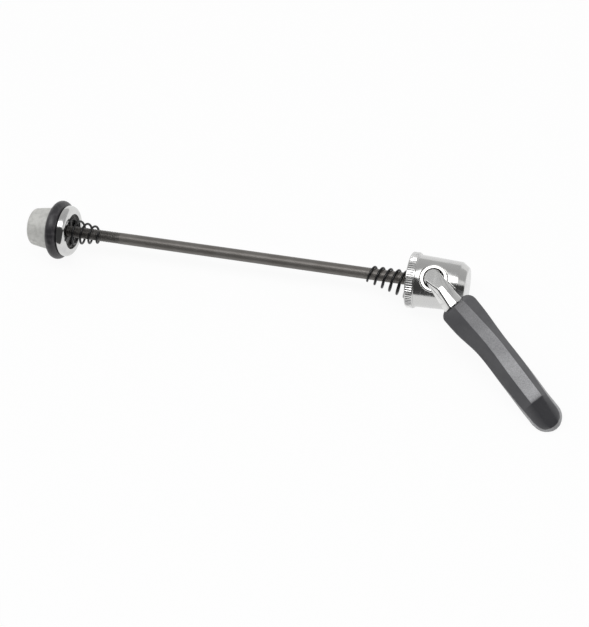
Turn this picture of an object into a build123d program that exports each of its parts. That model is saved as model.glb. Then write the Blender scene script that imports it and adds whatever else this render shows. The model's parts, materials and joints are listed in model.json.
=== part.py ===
"""Bicycle quick release skewer with an internal cam, lying at rest on its nut, flange and lever.

Millimetres. X runs along the rod, towards the lever. The origin is on the rod's axis, in the
plane of the housing's clamp face. Z is up.
"""

import os
from math import asin, atan2, cos, degrees, hypot, pi, radians, sin

from build123d import *

# Rod and clamping length
CLAMP_LENGTH = 152.0
ROD_RADIUS = 2.5
THREAD_CLEARANCE = 0.06
ROD_END_SETBACK = 2.0
ROD_END_CHAMFER = 0.6

# Cam housing
HOUSING_LENGTH = 24.4
HOUSING_INNER_RADIUS = 10.95
HOUSING_OUTER_RADIUS = 10.2
HOUSING_END_TAPER = 1.9
HOUSING_END_DROP = 2.8
HOUSING_END_ROUNDING = 0.9
FLANGE_RADIUS = 11.7
FLANGE_THICKNESS = 3.8
FLANGE_CHAMFER = 0.5
KNURL_TEETH = 76
KNURL_DEPTH = 0.17
HOUSING_RECESS_RADIUS = 9.0
HOUSING_RECESS_DEPTH = 2.2
CAM_BORE_RADIUS = 5.8
CAM_BORE_DEPTH = 19.6

# Lever pivot, square to the rod
PIVOT_X = 11.5
REST_ANGLE = 43.0
RUNNING_FIT = 0.08
SIDE_PLAY = 0.3
CAM_RADIUS = 2.6
CAM_THROW = 1.0
CAM_SLOT_CLEARANCE = 0.28
CAM_MEAN_RATE = 0.7246
JOURNAL_RADIUS = 4.1
JOURNAL_SETBACK = 1.8
TAIL_RADIUS = 2.2
TAIL_LENGTH = 1.9
TAIL_CHAMFER = 0.3

# Flanged bush in the lever's side of the housing
BUSH_WALL = 0.8
BUSH_FLANGE_RADIUS = 5.8
BUSH_FLANGE_THICKNESS = 1.5
BUSH_FLANGE_ROUNDING = 0.5
BUSH_SEAT_HEIGHT = 9.2
SPOTFACE_MARGIN = 0.2

# Washer and clip that hold the shaft's tail
TAIL_SEAT_DEPTH = 9.0
WASHER_RADIUS = 4.2
WASHER_THICKNESS = 0.6
CLIP_RADIUS = 3.9
CLIP_BAND = 1.1
CLIP_THICKNESS = 0.6
CLIP_PLAY = 0.06
CLIP_GROOVE_DEPTH = 0.5
CLIP_MOUTH = 3.4
CLIP_LUG_WIDTH = 1.4

# Eye on the rod, which the cam pulls
EYE_CLEARANCE = 0.2
EYE_WALL_BEHIND = 4.9
EYE_WALL_AHEAD = 3.2
EYE_SOCKET = 4.4
EYE_CHAMFER = 0.5

# Forged lever arm
NECK_RADIUS = 3.45
ARM_TOP = 16.0
ARM_THICKNESS = 5.0
ARM_MOUTH_WIDTH = 8.7
ARM_MOUTH_SHIFT = -0.45
ARM_BEVEL = 2.6
ARM_UNDER_BEVEL = 1.2
ARM_REACH = 1.6
ELBOW_SLOPE = 19.0
ELBOW_SLOPE_END = 6.0
TANG_WIDTH = 5.2
TANG_THICKNESS = 3.6
TANG_LENGTH = 32.0
TANG_DROP = 3.2
TANG_END_SHIFT = 1.5

# Moulded grip: distances from the pivot along the lever
GRIP_START = 13.6
GRIP_NOSE = 64.5
GRIP_TIP = 77.4
GRIP_TIP_RADIUS = 6.35
GRIP_TIP_SHIFT = 1.25
GRIP_MOUTH_ROUNDING = 4.0
GRIP_MOUTH_SLANT = 2.3
GRIP_SEAM_BAND = 1.2
GRIP_SKIRT_SHARE = 0.5
# Each section: distance, width, sideways shift, flat's width, flat's shift, top, underside
GRIP_SECTIONS = (
    (GRIP_START, 15.45, 0.525, 4.3, 1.6, 16.9, 8.3),
    (24.0, 14.9, 0.85, 4.6, 2.1, 16.8, 7.7),
    (36.0, 12.6, 1.5, 4.9, 2.8, 15.3, 6.6),
    (52.0, 12.8, 1.4, 5.2, 2.5, 13.0, 5.0),
    (GRIP_NOSE, 12.8, 1.1, 5.1, 2.3, 11.0, 3.8),
)
NOSE_SECTION = (GRIP_TIP, 13.0, GRIP_TIP_SHIFT, 4.0, 1.6, 6.6, 3.4)

# Conical springs
SPRING_WIRE = 1.0
SPRING_WIRE_SIDES = 8
SPRING_NARROW_RADIUS = 3.15
SPRING_WIDE_RADIUS = 5.7
LEVER_SPRING_LENGTH = 18.6
LEVER_SPRING_TURNS = 5.5
LEVER_SPRING_DROP = 2.5
LEVER_SPRING_DROP_ANGLE = 25.0
NUT_SPRING_LENGTH = 14.6
NUT_SPRING_TURNS = 4.0
SPRING_SEAT_GAP = 0.3

# Nut with its steel insert and rubber ring
INSERT_RADIUS = 11.25
INSERT_FLANGE_THICKNESS = 3.6
INSERT_ROUNDING = 2.2
INSERT_SPIGOT_RADIUS = 5.5
INSERT_SPIGOT_LENGTH = 6.4
INSERT_RECESS_RADIUS = 7.75
INSERT_RECESS_DEPTH = 2.2
RING_OUTER_RADIUS = 13.0
RING_SECTION_RADIUS = 2.45
RING_SEAT_GAP = 0.08
NUT_HUB_RADIUS = 9.6
NUT_SHOULDER_RADIUS = 9.6
NUT_END_RADIUS = 8.0
NUT_CONE_LENGTH = 10.6
NUT_END_ROUNDING = 1.9
NUT_END_HOLE_RADIUS = 2.9
LOCK_RING_RADIUS = 4.25
LOCK_RING_LENGTH = 3.0

# Places that follow from the sizes above
ARM_UNDERSIDE = ARM_TOP - ARM_THICKNESS
ARM_END = GRIP_START + ARM_REACH
NUT_FACE_X = -CLAMP_LENGTH
SPRING_END_REACH = SPRING_WIRE / 2 + SPRING_SEAT_GAP
RING_CENTRE_X = NUT_FACE_X - INSERT_FLANGE_THICKNESS - RING_SECTION_RADIUS - RING_SEAT_GAP
RING_MEAN_RADIUS = RING_OUTER_RADIUS - RING_SECTION_RADIUS
NUT_SHOULDER_X = RING_CENTRE_X - RING_SECTION_RADIUS
NUT_END_X = NUT_SHOULDER_X - NUT_CONE_LENGTH
INSERT_END_X = NUT_FACE_X - INSERT_FLANGE_THICKNESS - INSERT_SPIGOT_LENGTH
ROD_START_X = NUT_END_X + ROD_END_SETBACK
NUT_BORE_RADIUS = ROD_RADIUS + THREAD_CLEARANCE
EYE_RADIUS = CAM_BORE_RADIUS - EYE_CLEARANCE
EYE_CENTRE_X = PIVOT_X + CAM_MEAN_RATE * CAM_THROW * radians(REST_ANGLE)
EYE_SLOT_HALF_WIDTH = CAM_RADIUS + CAM_SLOT_CLEARANCE
EYE_START_X = EYE_CENTRE_X - EYE_SLOT_HALF_WIDTH - EYE_WALL_BEHIND
EYE_END_X = EYE_CENTRE_X + EYE_SLOT_HALF_WIDTH + EYE_WALL_AHEAD
CAM_HALF_LENGTH = CAM_BORE_RADIUS
BUSH_BORE_RADIUS = JOURNAL_RADIUS + RUNNING_FIT
BUSH_RADIUS = BUSH_BORE_RADIUS + BUSH_WALL
BUSH_TOP = BUSH_SEAT_HEIGHT + BUSH_FLANGE_THICKNESS
CLIP_TOP = -TAIL_SEAT_DEPTH - WASHER_THICKNESS - CLIP_PLAY
TAIL_END = -TAIL_SEAT_DEPTH - TAIL_LENGTH
TIP_UNDERSIDE = NOSE_SECTION[-1]
TIP_REACH = GRIP_TIP * sin(radians(REST_ANGLE)) - GRIP_TIP_SHIFT * cos(radians(REST_ANGLE))
REST_ROLL = degrees(asin(FLANGE_RADIUS / hypot(TIP_REACH, TIP_UNDERSIDE)) + atan2(TIP_UNDERSIDE, TIP_REACH))

BASE = (Align.CENTER, Align.CENTER, Align.MIN)
PIVOT_DIRECTION = (0, -sin(radians(REST_ROLL)), cos(radians(REST_ROLL)))
PIVOT = Plane(origin=(PIVOT_X, 0, 0), x_dir=(1, 0, 0), z_dir=PIVOT_DIRECTION).location
LEVER_FRAME = PIVOT * Rot(0, 0, -REST_ANGLE)


def along_rod(radius, start, end):
    """A cylinder on the rod's axis between two places on X."""
    return Pos(start, 0, 0) * Rot(0, 90, 0) * Cylinder(radius, end - start, align=BASE)


def upright(radius, low, high):
    """A cylinder on the local Z axis between two heights."""
    return Pos(0, 0, low) * Cylinder(radius, high - low, align=BASE)


def turned(*points):
    """A solid turned about X from a closed outline of (x, radius) points."""
    return revolve(make_face(Polyline(*points, close=True)), Axis.X)


def end_rim(shape, axis, last=True):
    """The circular edge of a turned solid that lies furthest along an axis."""
    rims = shape.edges().filter_by(GeomType.CIRCLE).sort_by(axis)
    return rims[-1] if last else rims[0]


def knurled_disc():
    """The flange as a straight-knurled disc with chamfered rims."""
    corners = []
    for step in range(2 * KNURL_TEETH):
        radius = FLANGE_RADIUS - KNURL_DEPTH * (step % 2)
        angle = pi * step / KNURL_TEETH
        corners.append((radius * cos(angle), radius * sin(angle)))
    teeth = extrude(make_face(Polyline(*corners, close=True)), FLANGE_THICKNESS)
    rim = FLANGE_RADIUS - FLANGE_CHAMFER
    blank = turned(
        (0, 0),
        (0, rim),
        (FLANGE_CHAMFER, FLANGE_RADIUS),
        (FLANGE_THICKNESS - FLANGE_CHAMFER, FLANGE_RADIUS),
        (FLANGE_THICKNESS, rim),
        (FLANGE_THICKNESS, 0),
    )
    return blank & (Rot(0, 90, 0) * teeth)


def cam_housing():
    """The chromed housing: knurled flange, tapered body, blind cam bore and stepped cross bore."""
    body = turned(
        (0, 0),
        (0, HOUSING_INNER_RADIUS),
        (FLANGE_THICKNESS, HOUSING_INNER_RADIUS),
        (HOUSING_LENGTH - HOUSING_END_TAPER, HOUSING_OUTER_RADIUS),
        (HOUSING_LENGTH, HOUSING_OUTER_RADIUS - HOUSING_END_DROP),
        (HOUSING_LENGTH, 0),
    )
    body = fillet(body.edges().filter_by(GeomType.CIRCLE).sort_by(Axis.X)[-2:], HOUSING_END_ROUNDING)
    body = body + knurled_disc()
    body -= along_rod(HOUSING_RECESS_RADIUS, 0, HOUSING_RECESS_DEPTH)
    body -= along_rod(CAM_BORE_RADIUS, 0, CAM_BORE_DEPTH)
    body -= PIVOT * upright(BUSH_FLANGE_RADIUS + SPOTFACE_MARGIN, BUSH_SEAT_HEIGHT, FLANGE_RADIUS)
    body -= PIVOT * upright(BUSH_RADIUS, -CAM_HALF_LENGTH - SIDE_PLAY, FLANGE_RADIUS)
    body -= PIVOT * upright(TAIL_RADIUS + RUNNING_FIT, -FLANGE_RADIUS, 0)
    body -= PIVOT * upright(WASHER_RADIUS + SPOTFACE_MARGIN, -FLANGE_RADIUS, -TAIL_SEAT_DEPTH)
    return body


def pivot_bush():
    """The bright flanged bush around the lever's shaft."""
    flange = upright(BUSH_FLANGE_RADIUS, BUSH_SEAT_HEIGHT, BUSH_TOP)
    flange = fillet(end_rim(flange, Axis.Z), BUSH_FLANGE_ROUNDING)
    spigot = upright(BUSH_RADIUS, CAM_BORE_RADIUS, BUSH_SEAT_HEIGHT)
    bush = flange + spigot - upright(BUSH_BORE_RADIUS, 0, BUSH_TOP)
    bush = PIVOT * bush
    return bush - along_rod(CAM_BORE_RADIUS, 0, CAM_BORE_DEPTH)


def arm_outline():
    """The lever arm from above: a bar that widens from the elbow to its end inside the grip's mouth."""
    elbow = Circle(NECK_RADIUS)
    mouth = Pos(ARM_END, ARM_MOUTH_SHIFT) * Circle(ARM_MOUTH_WIDTH / 2)
    bar = make_hull((elbow + mouth).edges())
    beyond = Rectangle(ARM_MOUTH_WIDTH, 2 * ARM_MOUTH_WIDTH, align=(Align.MIN, Align.CENTER))
    return bar - Pos(ARM_END, ARM_MOUTH_SHIFT) * beyond


def side_edges(bar, upper):
    """The edges along the arm's sides and round its elbow, above or below, without the mouth's."""
    level = bar.edges().group_by(Axis.Z)[-1 if upper else 0]
    return level.sort_by(Axis.X)[:-1]


def lever_arm():
    """The bevelled arm from its sloping elbow to its end inside the grip."""
    arm = Pos(0, 0, ARM_UNDERSIDE) * extrude(arm_outline(), ARM_THICKNESS)
    arm = chamfer(side_edges(arm, True), ARM_BEVEL)
    arm = chamfer(side_edges(arm, False), ARM_UNDER_BEVEL)
    waste = Box(GRIP_START, 2 * ARM_MOUTH_WIDTH, ARM_THICKNESS, align=(Align.MAX, Align.CENTER, Align.MIN))
    return arm - Pos(ELBOW_SLOPE_END, 0, ARM_TOP) * Rot(0, -ELBOW_SLOPE, 0) * waste


def tang():
    """The flat tang inside the grip, sloping and turning with it."""
    start_height = ARM_UNDERSIDE + TANG_THICKNESS / 2
    start = (ARM_END - ARM_REACH / 2, ARM_MOUTH_SHIFT, start_height)
    end = (ARM_END + TANG_LENGTH, TANG_END_SHIFT, start_height - TANG_DROP)
    sections = []
    for middle in (start, end):
        place = Plane(origin=middle, x_dir=(0, 1, 0), z_dir=(1, 0, 0))
        sections.append(place * Rectangle(TANG_WIDTH, TANG_THICKNESS))
    return loft(sections)


def lever():
    """The forged lever: tail journal, cam, main journal, neck, elbow, arm and tang in one piece."""
    cam = Pos(0, CAM_THROW, 0) * upright(CAM_RADIUS, -CAM_HALF_LENGTH, CAM_HALF_LENGTH)
    journal = upright(JOURNAL_RADIUS, CAM_HALF_LENGTH, BUSH_TOP - JOURNAL_SETBACK)
    neck = upright(NECK_RADIUS, CAM_HALF_LENGTH, ARM_UNDERSIDE + ARM_UNDER_BEVEL)
    tail = upright(TAIL_RADIUS, TAIL_END, -CAM_HALF_LENGTH)
    tail = chamfer(end_rim(tail, Axis.Z, last=False), TAIL_CHAMFER)
    groove = upright(TAIL_RADIUS, CLIP_TOP - CLIP_THICKNESS, CLIP_TOP)
    groove -= upright(TAIL_RADIUS - CLIP_GROOVE_DEPTH, CLIP_TOP - CLIP_THICKNESS, CLIP_TOP)
    return LEVER_FRAME * (lever_arm() + tang() + neck + journal + cam + (tail - groove))


def grip_section(distance, width, shift, flat_width, flat_shift, top, underside):
    """One eight-sided section of the grip: a flat above and below, bevels, and upright sides."""
    middle = (top + underside) / 2
    shoulder = middle + GRIP_SEAM_BAND / 2
    skirt = middle - GRIP_SEAM_BAND / 2 - GRIP_SKIRT_SHARE * (middle - GRIP_SEAM_BAND / 2 - underside)
    right = shift + width / 2
    left = shift - width / 2
    flat_right = flat_shift + flat_width / 2
    flat_left = flat_shift - flat_width / 2
    outline = Polyline(
        (flat_left, top),
        (flat_right, top),
        (right, shoulder),
        (right, skirt),
        (flat_right, underside),
        (flat_left, underside),
        (left, skirt),
        (left, shoulder),
        close=True,
    )
    return Plane(origin=(distance, 0, 0), x_dir=(0, 1, 0), z_dir=(1, 0, 0)) * make_face(outline)


def mouth_waste():
    """What the grip's mouth leans back from, above the middle of its first section."""
    top, underside = GRIP_SECTIONS[0][-2:]
    middle = (top + underside) / 2
    beside = Polyline(
        (0, middle),
        (GRIP_START, middle),
        (GRIP_START + 2 * GRIP_MOUTH_SLANT, 2 * top - middle),
        (0, 2 * top - middle),
        close=True,
    )
    return extrude(Plane.XZ * make_face(beside), GRIP_SECTIONS[0][1], both=True)


def lever_grip():
    """The moulded grip: faceted sections, a mouth that leans back, a sloping nose and a round tip."""
    handle = loft([grip_section(*values) for values in GRIP_SECTIONS])
    nose = loft([grip_section(*GRIP_SECTIONS[-1]), grip_section(*NOSE_SECTION)], ruled=True)
    mouth_width, mouth_shift = GRIP_SECTIONS[0][1:3]
    corner_reach = mouth_width / 2 - GRIP_MOUTH_ROUNDING
    rounds = Pos(GRIP_TIP - GRIP_TIP_RADIUS, GRIP_TIP_SHIFT) * Circle(GRIP_TIP_RADIUS)
    for side in (-1, 1):
        corner = Pos(GRIP_START + GRIP_MOUTH_ROUNDING, mouth_shift + side * corner_reach)
        rounds += corner * Circle(GRIP_MOUTH_ROUNDING)
    outline = extrude(make_hull(rounds.edges()), 2 * ARM_TOP)
    grip = (handle & outline) + (nose & outline) - mouth_waste()
    return LEVER_FRAME * (grip - lever_arm() - tang())


def retaining_washer():
    """The plain washer on the housing's back, around the shaft's tail."""
    disc = upright(WASHER_RADIUS, -TAIL_SEAT_DEPTH - WASHER_THICKNESS, -TAIL_SEAT_DEPTH)
    return PIVOT * (disc - upright(TAIL_RADIUS + RUNNING_FIT, -FLANGE_RADIUS, 0))


def retaining_clip():
    """The E-shaped clip snapped into the tail's groove: an open band with three inward lugs."""
    band = Circle(CLIP_RADIUS) - Circle(CLIP_RADIUS - CLIP_BAND)
    for angle in (0, 90, 180):
        lug = Rectangle(CLIP_RADIUS - CLIP_BAND / 2, CLIP_LUG_WIDTH, align=(Align.MIN, Align.CENTER))
        band += Rot(0, 0, angle) * lug
    band -= Rectangle(CLIP_MOUTH, CLIP_RADIUS, align=(Align.CENTER, Align.MAX))
    band -= Circle(TAIL_RADIUS - CLIP_GROOVE_DEPTH)
    return LEVER_FRAME * Pos(0, 0, CLIP_TOP - CLIP_THICKNESS) * extrude(band, CLIP_THICKNESS)


def skewer_rod():
    """The long rod, with its nut end chamfered and its other end screwed into the eye."""
    rod = along_rod(ROD_RADIUS, ROD_START_X, EYE_START_X + EYE_SOCKET)
    return chamfer(end_rim(rod, Axis.X, last=False), ROD_END_CHAMFER)


def rod_eye():
    """The barrel on the rod's end with the cross slot that the cam turns in."""
    barrel = along_rod(EYE_RADIUS, EYE_START_X, EYE_END_X)
    barrel = chamfer((end_rim(barrel, Axis.X), end_rim(barrel, Axis.X, last=False)), EYE_CHAMFER)
    slot_length = 2 * (EYE_SLOT_HALF_WIDTH + CAM_THROW)
    slot = extrude(SlotOverall(slot_length, 2 * EYE_SLOT_HALF_WIDTH, rotation=90), FLANGE_RADIUS, both=True)
    barrel -= Pos(EYE_CENTRE_X - PIVOT_X, 0, 0) * PIVOT * slot
    return barrel - along_rod(ROD_RADIUS, EYE_START_X, EYE_START_X + EYE_SOCKET)


def conical_spring(length, turns):
    """A conical wire spring on Z, its narrow end at the origin and its wide end above."""
    cone = degrees(atan2(SPRING_WIDE_RADIUS - SPRING_NARROW_RADIUS, length))
    path = Helix(length / turns, length, SPRING_NARROW_RADIUS, cone_angle=cone)
    wire = Plane(origin=path @ 0, z_dir=path % 0) * RegularPolygon(SPRING_WIRE / 2, SPRING_WIRE_SIDES)
    return sweep(wire, path, is_frenet=True)


def lever_spring():
    """The spring beside the housing, hanging on the rod with its wide end dropped."""
    tilt = degrees(atan2(LEVER_SPRING_DROP, LEVER_SPRING_LENGTH))
    hang = Rot(LEVER_SPRING_DROP_ANGLE - 90, 0, 0)
    narrow_x = HOUSING_RECESS_DEPTH - SPRING_END_REACH - LEVER_SPRING_LENGTH
    spring = conical_spring(LEVER_SPRING_LENGTH, LEVER_SPRING_TURNS)
    return Pos(narrow_x, 0, 0) * hang * Rot(0, 90 + tilt, 0) * spring


def nut_spring():
    """The spring beside the nut, its wide end in the insert's recess."""
    wide_x = NUT_FACE_X - INSERT_RECESS_DEPTH + SPRING_END_REACH
    spring = conical_spring(NUT_SPRING_LENGTH, NUT_SPRING_TURNS)
    return Pos(wide_x + NUT_SPRING_LENGTH, 0, 0) * Rot(0, -90, 0) * spring


def nut_insert():
    """The chromed steel insert: a rounded clamp flange with a spring recess and a threaded spigot."""
    back_x = NUT_FACE_X - INSERT_FLANGE_THICKNESS
    flange = along_rod(INSERT_RADIUS, back_x, NUT_FACE_X)
    flange = fillet(end_rim(flange, Axis.X), INSERT_ROUNDING)
    insert = flange + along_rod(INSERT_SPIGOT_RADIUS, INSERT_END_X, back_x)
    insert -= along_rod(INSERT_RECESS_RADIUS, NUT_FACE_X - INSERT_RECESS_DEPTH, NUT_FACE_X)
    return insert - along_rod(NUT_BORE_RADIUS, INSERT_END_X, NUT_FACE_X)


def grip_ring():
    """The rubber ring around the nut."""
    return Pos(RING_CENTRE_X, 0, 0) * Rot(0, 90, 0) * Torus(RING_MEAN_RADIUS, RING_SECTION_RADIUS)


def nut_body():
    """The tapered aluminium nut with a round groove for the ring and a stepped bore."""
    back_x = NUT_FACE_X - INSERT_FLANGE_THICKNESS
    body = turned(
        (back_x, 0),
        (back_x, NUT_HUB_RADIUS),
        (NUT_SHOULDER_X, NUT_SHOULDER_RADIUS),
        (NUT_END_X, NUT_END_RADIUS),
        (NUT_END_X, 0),
    )
    body = fillet(end_rim(body, Axis.X, last=False), NUT_END_ROUNDING)
    seat = Torus(RING_MEAN_RADIUS, RING_SECTION_RADIUS + RING_SEAT_GAP)
    body -= Pos(RING_CENTRE_X, 0, 0) * Rot(0, 90, 0) * seat
    body -= along_rod(INSERT_SPIGOT_RADIUS, INSERT_END_X, back_x)
    body -= along_rod(LOCK_RING_RADIUS, INSERT_END_X - LOCK_RING_LENGTH, INSERT_END_X)
    return body - along_rod(NUT_END_HOLE_RADIUS, NUT_END_X, INSERT_END_X)


def lock_ring():
    """The nylon ring that keeps the nut from turning by itself."""
    ring = along_rod(LOCK_RING_RADIUS, INSERT_END_X - LOCK_RING_LENGTH, INSERT_END_X)
    return ring - along_rod(NUT_BORE_RADIUS, INSERT_END_X - LOCK_RING_LENGTH, INSERT_END_X)


PIECES = (
    cam_housing,
    pivot_bush,
    lever,
    lever_grip,
    retaining_washer,
    retaining_clip,
    skewer_rod,
    rod_eye,
    lever_spring,
    nut_spring,
    nut_insert,
    grip_ring,
    nut_body,
    lock_ring,
)

os.makedirs("parts", exist_ok=True)
for piece in PIECES:
    export_step(piece(), f"parts/{piece.__name__}.step")
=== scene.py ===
"""Looks of a bicycle quick release skewer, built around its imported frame.

Sizes in the classes are millimetres in the frame's own axes: X along the rod towards the lever,
with its origin in the housing's clamp face, and Z up. Meshes are written in metres.
"""

import json
import logging
import math
from contextlib import contextmanager
from dataclasses import dataclass
from enum import Enum, IntEnum
from typing import Any, Iterable, Iterator, Sequence

import bmesh
import bpy
from mathutils import Matrix, Vector

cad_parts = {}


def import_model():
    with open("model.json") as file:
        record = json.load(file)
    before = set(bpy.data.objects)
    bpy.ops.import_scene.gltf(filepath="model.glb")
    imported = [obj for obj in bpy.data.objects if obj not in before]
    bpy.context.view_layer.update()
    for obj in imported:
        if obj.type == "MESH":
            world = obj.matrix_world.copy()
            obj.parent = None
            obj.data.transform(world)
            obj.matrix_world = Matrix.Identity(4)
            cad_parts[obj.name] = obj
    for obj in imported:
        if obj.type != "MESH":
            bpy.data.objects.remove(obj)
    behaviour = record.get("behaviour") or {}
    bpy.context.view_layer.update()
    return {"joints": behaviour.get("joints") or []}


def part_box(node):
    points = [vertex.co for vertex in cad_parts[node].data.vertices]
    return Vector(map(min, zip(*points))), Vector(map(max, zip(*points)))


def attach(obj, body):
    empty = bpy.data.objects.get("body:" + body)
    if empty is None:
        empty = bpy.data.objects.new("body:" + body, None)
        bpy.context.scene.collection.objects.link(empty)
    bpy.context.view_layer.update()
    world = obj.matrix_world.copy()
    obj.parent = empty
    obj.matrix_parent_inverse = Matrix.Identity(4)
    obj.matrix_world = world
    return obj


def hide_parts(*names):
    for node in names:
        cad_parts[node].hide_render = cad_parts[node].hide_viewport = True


LOG = logging.getLogger("skewer")
MM = 0.001
FULL_TURN = 2.0 * math.pi
QUARTER_TURN = math.pi / 2.0
WHITE = (1.0, 1.0, 1.0, 1.0)

# Angles at which two faces meet, in degrees. Below the first they are shaded as one. Above the second
# their edge is rounded, and above the third too where both are large flats. Below the last they are
# one flat.
SMOOTH_TURN = 32.0
SHARP_TURN = 22.0
RIDGE_TURN = 6.0
FLAT_TURN = 0.6

# Distances up to which points are joined, in millimetres.
COPY_MERGE = 0.002
TURNED_MERGE = 0.0005
THREAD_MERGE = 0.001
GRIP_MERGE = 0.004

# A ridge of the knurl is a bar with this many sides, lying on one of them.
RIDGE_SIDES = 6
RIDGE_HALF_SIDE = math.pi / RIDGE_SIDES

Point2 = tuple[float, float]
Point3 = tuple[float, float, float]
Colour = tuple[float, float, float]
Mesh = bpy.types.Mesh
Material = bpy.types.Material


class Body(Enum):
    """Moving bodies of the frame that pieces ride on."""

    HOUSING = "housing"
    LEVER = "lever"
    ROD = "rod"
    LEVER_SPRING = "lever_spring"
    NUT_SPRING = "nut_spring"
    NUT = "nut"


class Slot(Enum):
    """Material slots of the record, listed beside some pieces but not applied to them."""

    HOUSING = "chrome_steel"
    BUSH = "bright_bush"
    LEVER = "chrome_lever"
    GRIP = "grip_plastic"
    PLAIN = "plain_steel"
    ROD = "rod_steel"
    SPRING = "spring_steel"
    INSERT = "chrome_insert"
    RING = "ring_rubber"
    NUT = "nut_aluminium"


class GripCorner(IntEnum):
    """Corners of a section of the grip, in their order around it."""

    FLAT_LEFT = 0
    FLAT_RIGHT = 1
    SHOULDER_RIGHT = 2
    SKIRT_RIGHT = 3
    UNDER_RIGHT = 4
    UNDER_LEFT = 5
    SKIRT_LEFT = 6
    SHOULDER_LEFT = 7


class Flow:
    """A value on its way through a node tree, with arithmetic that adds Math nodes."""

    def __init__(self, tree: "Tree", socket: bpy.types.NodeSocket | None) -> None:
        """Wraps one output socket of a tree, or None after a node that has no output."""
        self.tree = tree
        self.socket = socket

    def _math(self, operation: str, *values: Any) -> "Flow":
        """Adds one Math node.

        Args:
            operation: The Math node's operation.
            values: Numbers or flows for its inputs, in order.

        Returns:
            The node's result.
        """
        return self.tree.add("ShaderNodeMath", {"operation": operation}, dict(enumerate(values)))

    def __add__(self, other: Any) -> "Flow":
        """Sum."""
        return self._math("ADD", self, other)

    def __radd__(self, other: Any) -> "Flow":
        """Sum with a number on the left."""
        return self._math("ADD", other, self)

    def __sub__(self, other: Any) -> "Flow":
        """Difference."""
        return self._math("SUBTRACT", self, other)

    def __rsub__(self, other: Any) -> "Flow":
        """Difference from a number."""
        return self._math("SUBTRACT", other, self)

    def __mul__(self, other: Any) -> "Flow":
        """Product."""
        return self._math("MULTIPLY", self, other)

    def __rmul__(self, other: Any) -> "Flow":
        """Product with a number on the left."""
        return self._math("MULTIPLY", other, self)

    def __truediv__(self, other: Any) -> "Flow":
        """Quotient."""
        return self._math("DIVIDE", self, other)

    def __abs__(self) -> "Flow":
        """Size without its sign."""
        return self._math("ABSOLUTE", self)

    def fraction(self) -> "Flow":
        """Part after the whole number."""
        return self._math("FRACT", self)

    def least(self, other: Any) -> "Flow":
        """Smaller of two values."""
        return self._math("MINIMUM", self, other)

    def most(self, other: Any) -> "Flow":
        """Larger of two values."""
        return self._math("MAXIMUM", self, other)

    def cosine(self) -> "Flow":
        """Cosine of an angle."""
        return self._math("COSINE", self)

    def sine(self) -> "Flow":
        """Sine of an angle."""
        return self._math("SINE", self)

    def band(self, low: float, high: float) -> "Flow":
        """Smooth step from 0 at low to 1 at high."""
        inputs = {"Value": self, "From Min": low, "From Max": high}
        return self.tree.add("ShaderNodeMapRange", {"interpolation_type": "SMOOTHSTEP"}, inputs)


class Tree:
    """A node tree that grows through one method."""

    def __init__(self, tree: bpy.types.NodeTree) -> None:
        """Wraps a Blender node tree."""
        self.tree = tree

    def add(
        self,
        kind: str,
        settings: dict[str, Any] | None = None,
        inputs: dict[Any, Any] | None = None,
        output: Any = 0,
    ) -> Flow:
        """Adds a node, sets it up and links it.

        Args:
            kind: The node's type name.
            settings: Properties to set first; "stops" fills a colour ramp.
            inputs: Values or flows by socket name or index.
            output: Name or index of the output to return.

        Returns:
            The chosen output.
        """
        node = self.tree.nodes.new(kind)
        for key, value in (settings or {}).items():
            if key == "stops":
                self._fill_ramp(node.color_ramp, value)
            else:
                setattr(node, key, value)
        for key, value in (inputs or {}).items():
            self.feed(node.inputs[key], value)
        return Flow(self, node.outputs[output] if len(node.outputs) else None)

    def feed(self, socket: bpy.types.NodeSocket, value: Any) -> None:
        """Links a flow to a socket, or sets a plain value on it.

        Args:
            socket: The input.
            value: A flow to link, or a plain value to set.
        """
        if isinstance(value, Flow):
            self.tree.links.new(value.socket, socket)
        else:
            socket.default_value = value

    @staticmethod
    def _fill_ramp(ramp: bpy.types.ColorRamp, stops: Sequence[tuple[float, Colour]]) -> None:
        """Gives a colour ramp its stops.

        Args:
            ramp: The ramp.
            stops: Places from 0 to 1 and their colours.
        """
        while len(ramp.elements) < len(stops):
            ramp.elements.new(1.0)
        for element, (place, colour) in zip(ramp.elements, stops):
            element.position = place
            element.color = (*colour, 1.0)


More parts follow.
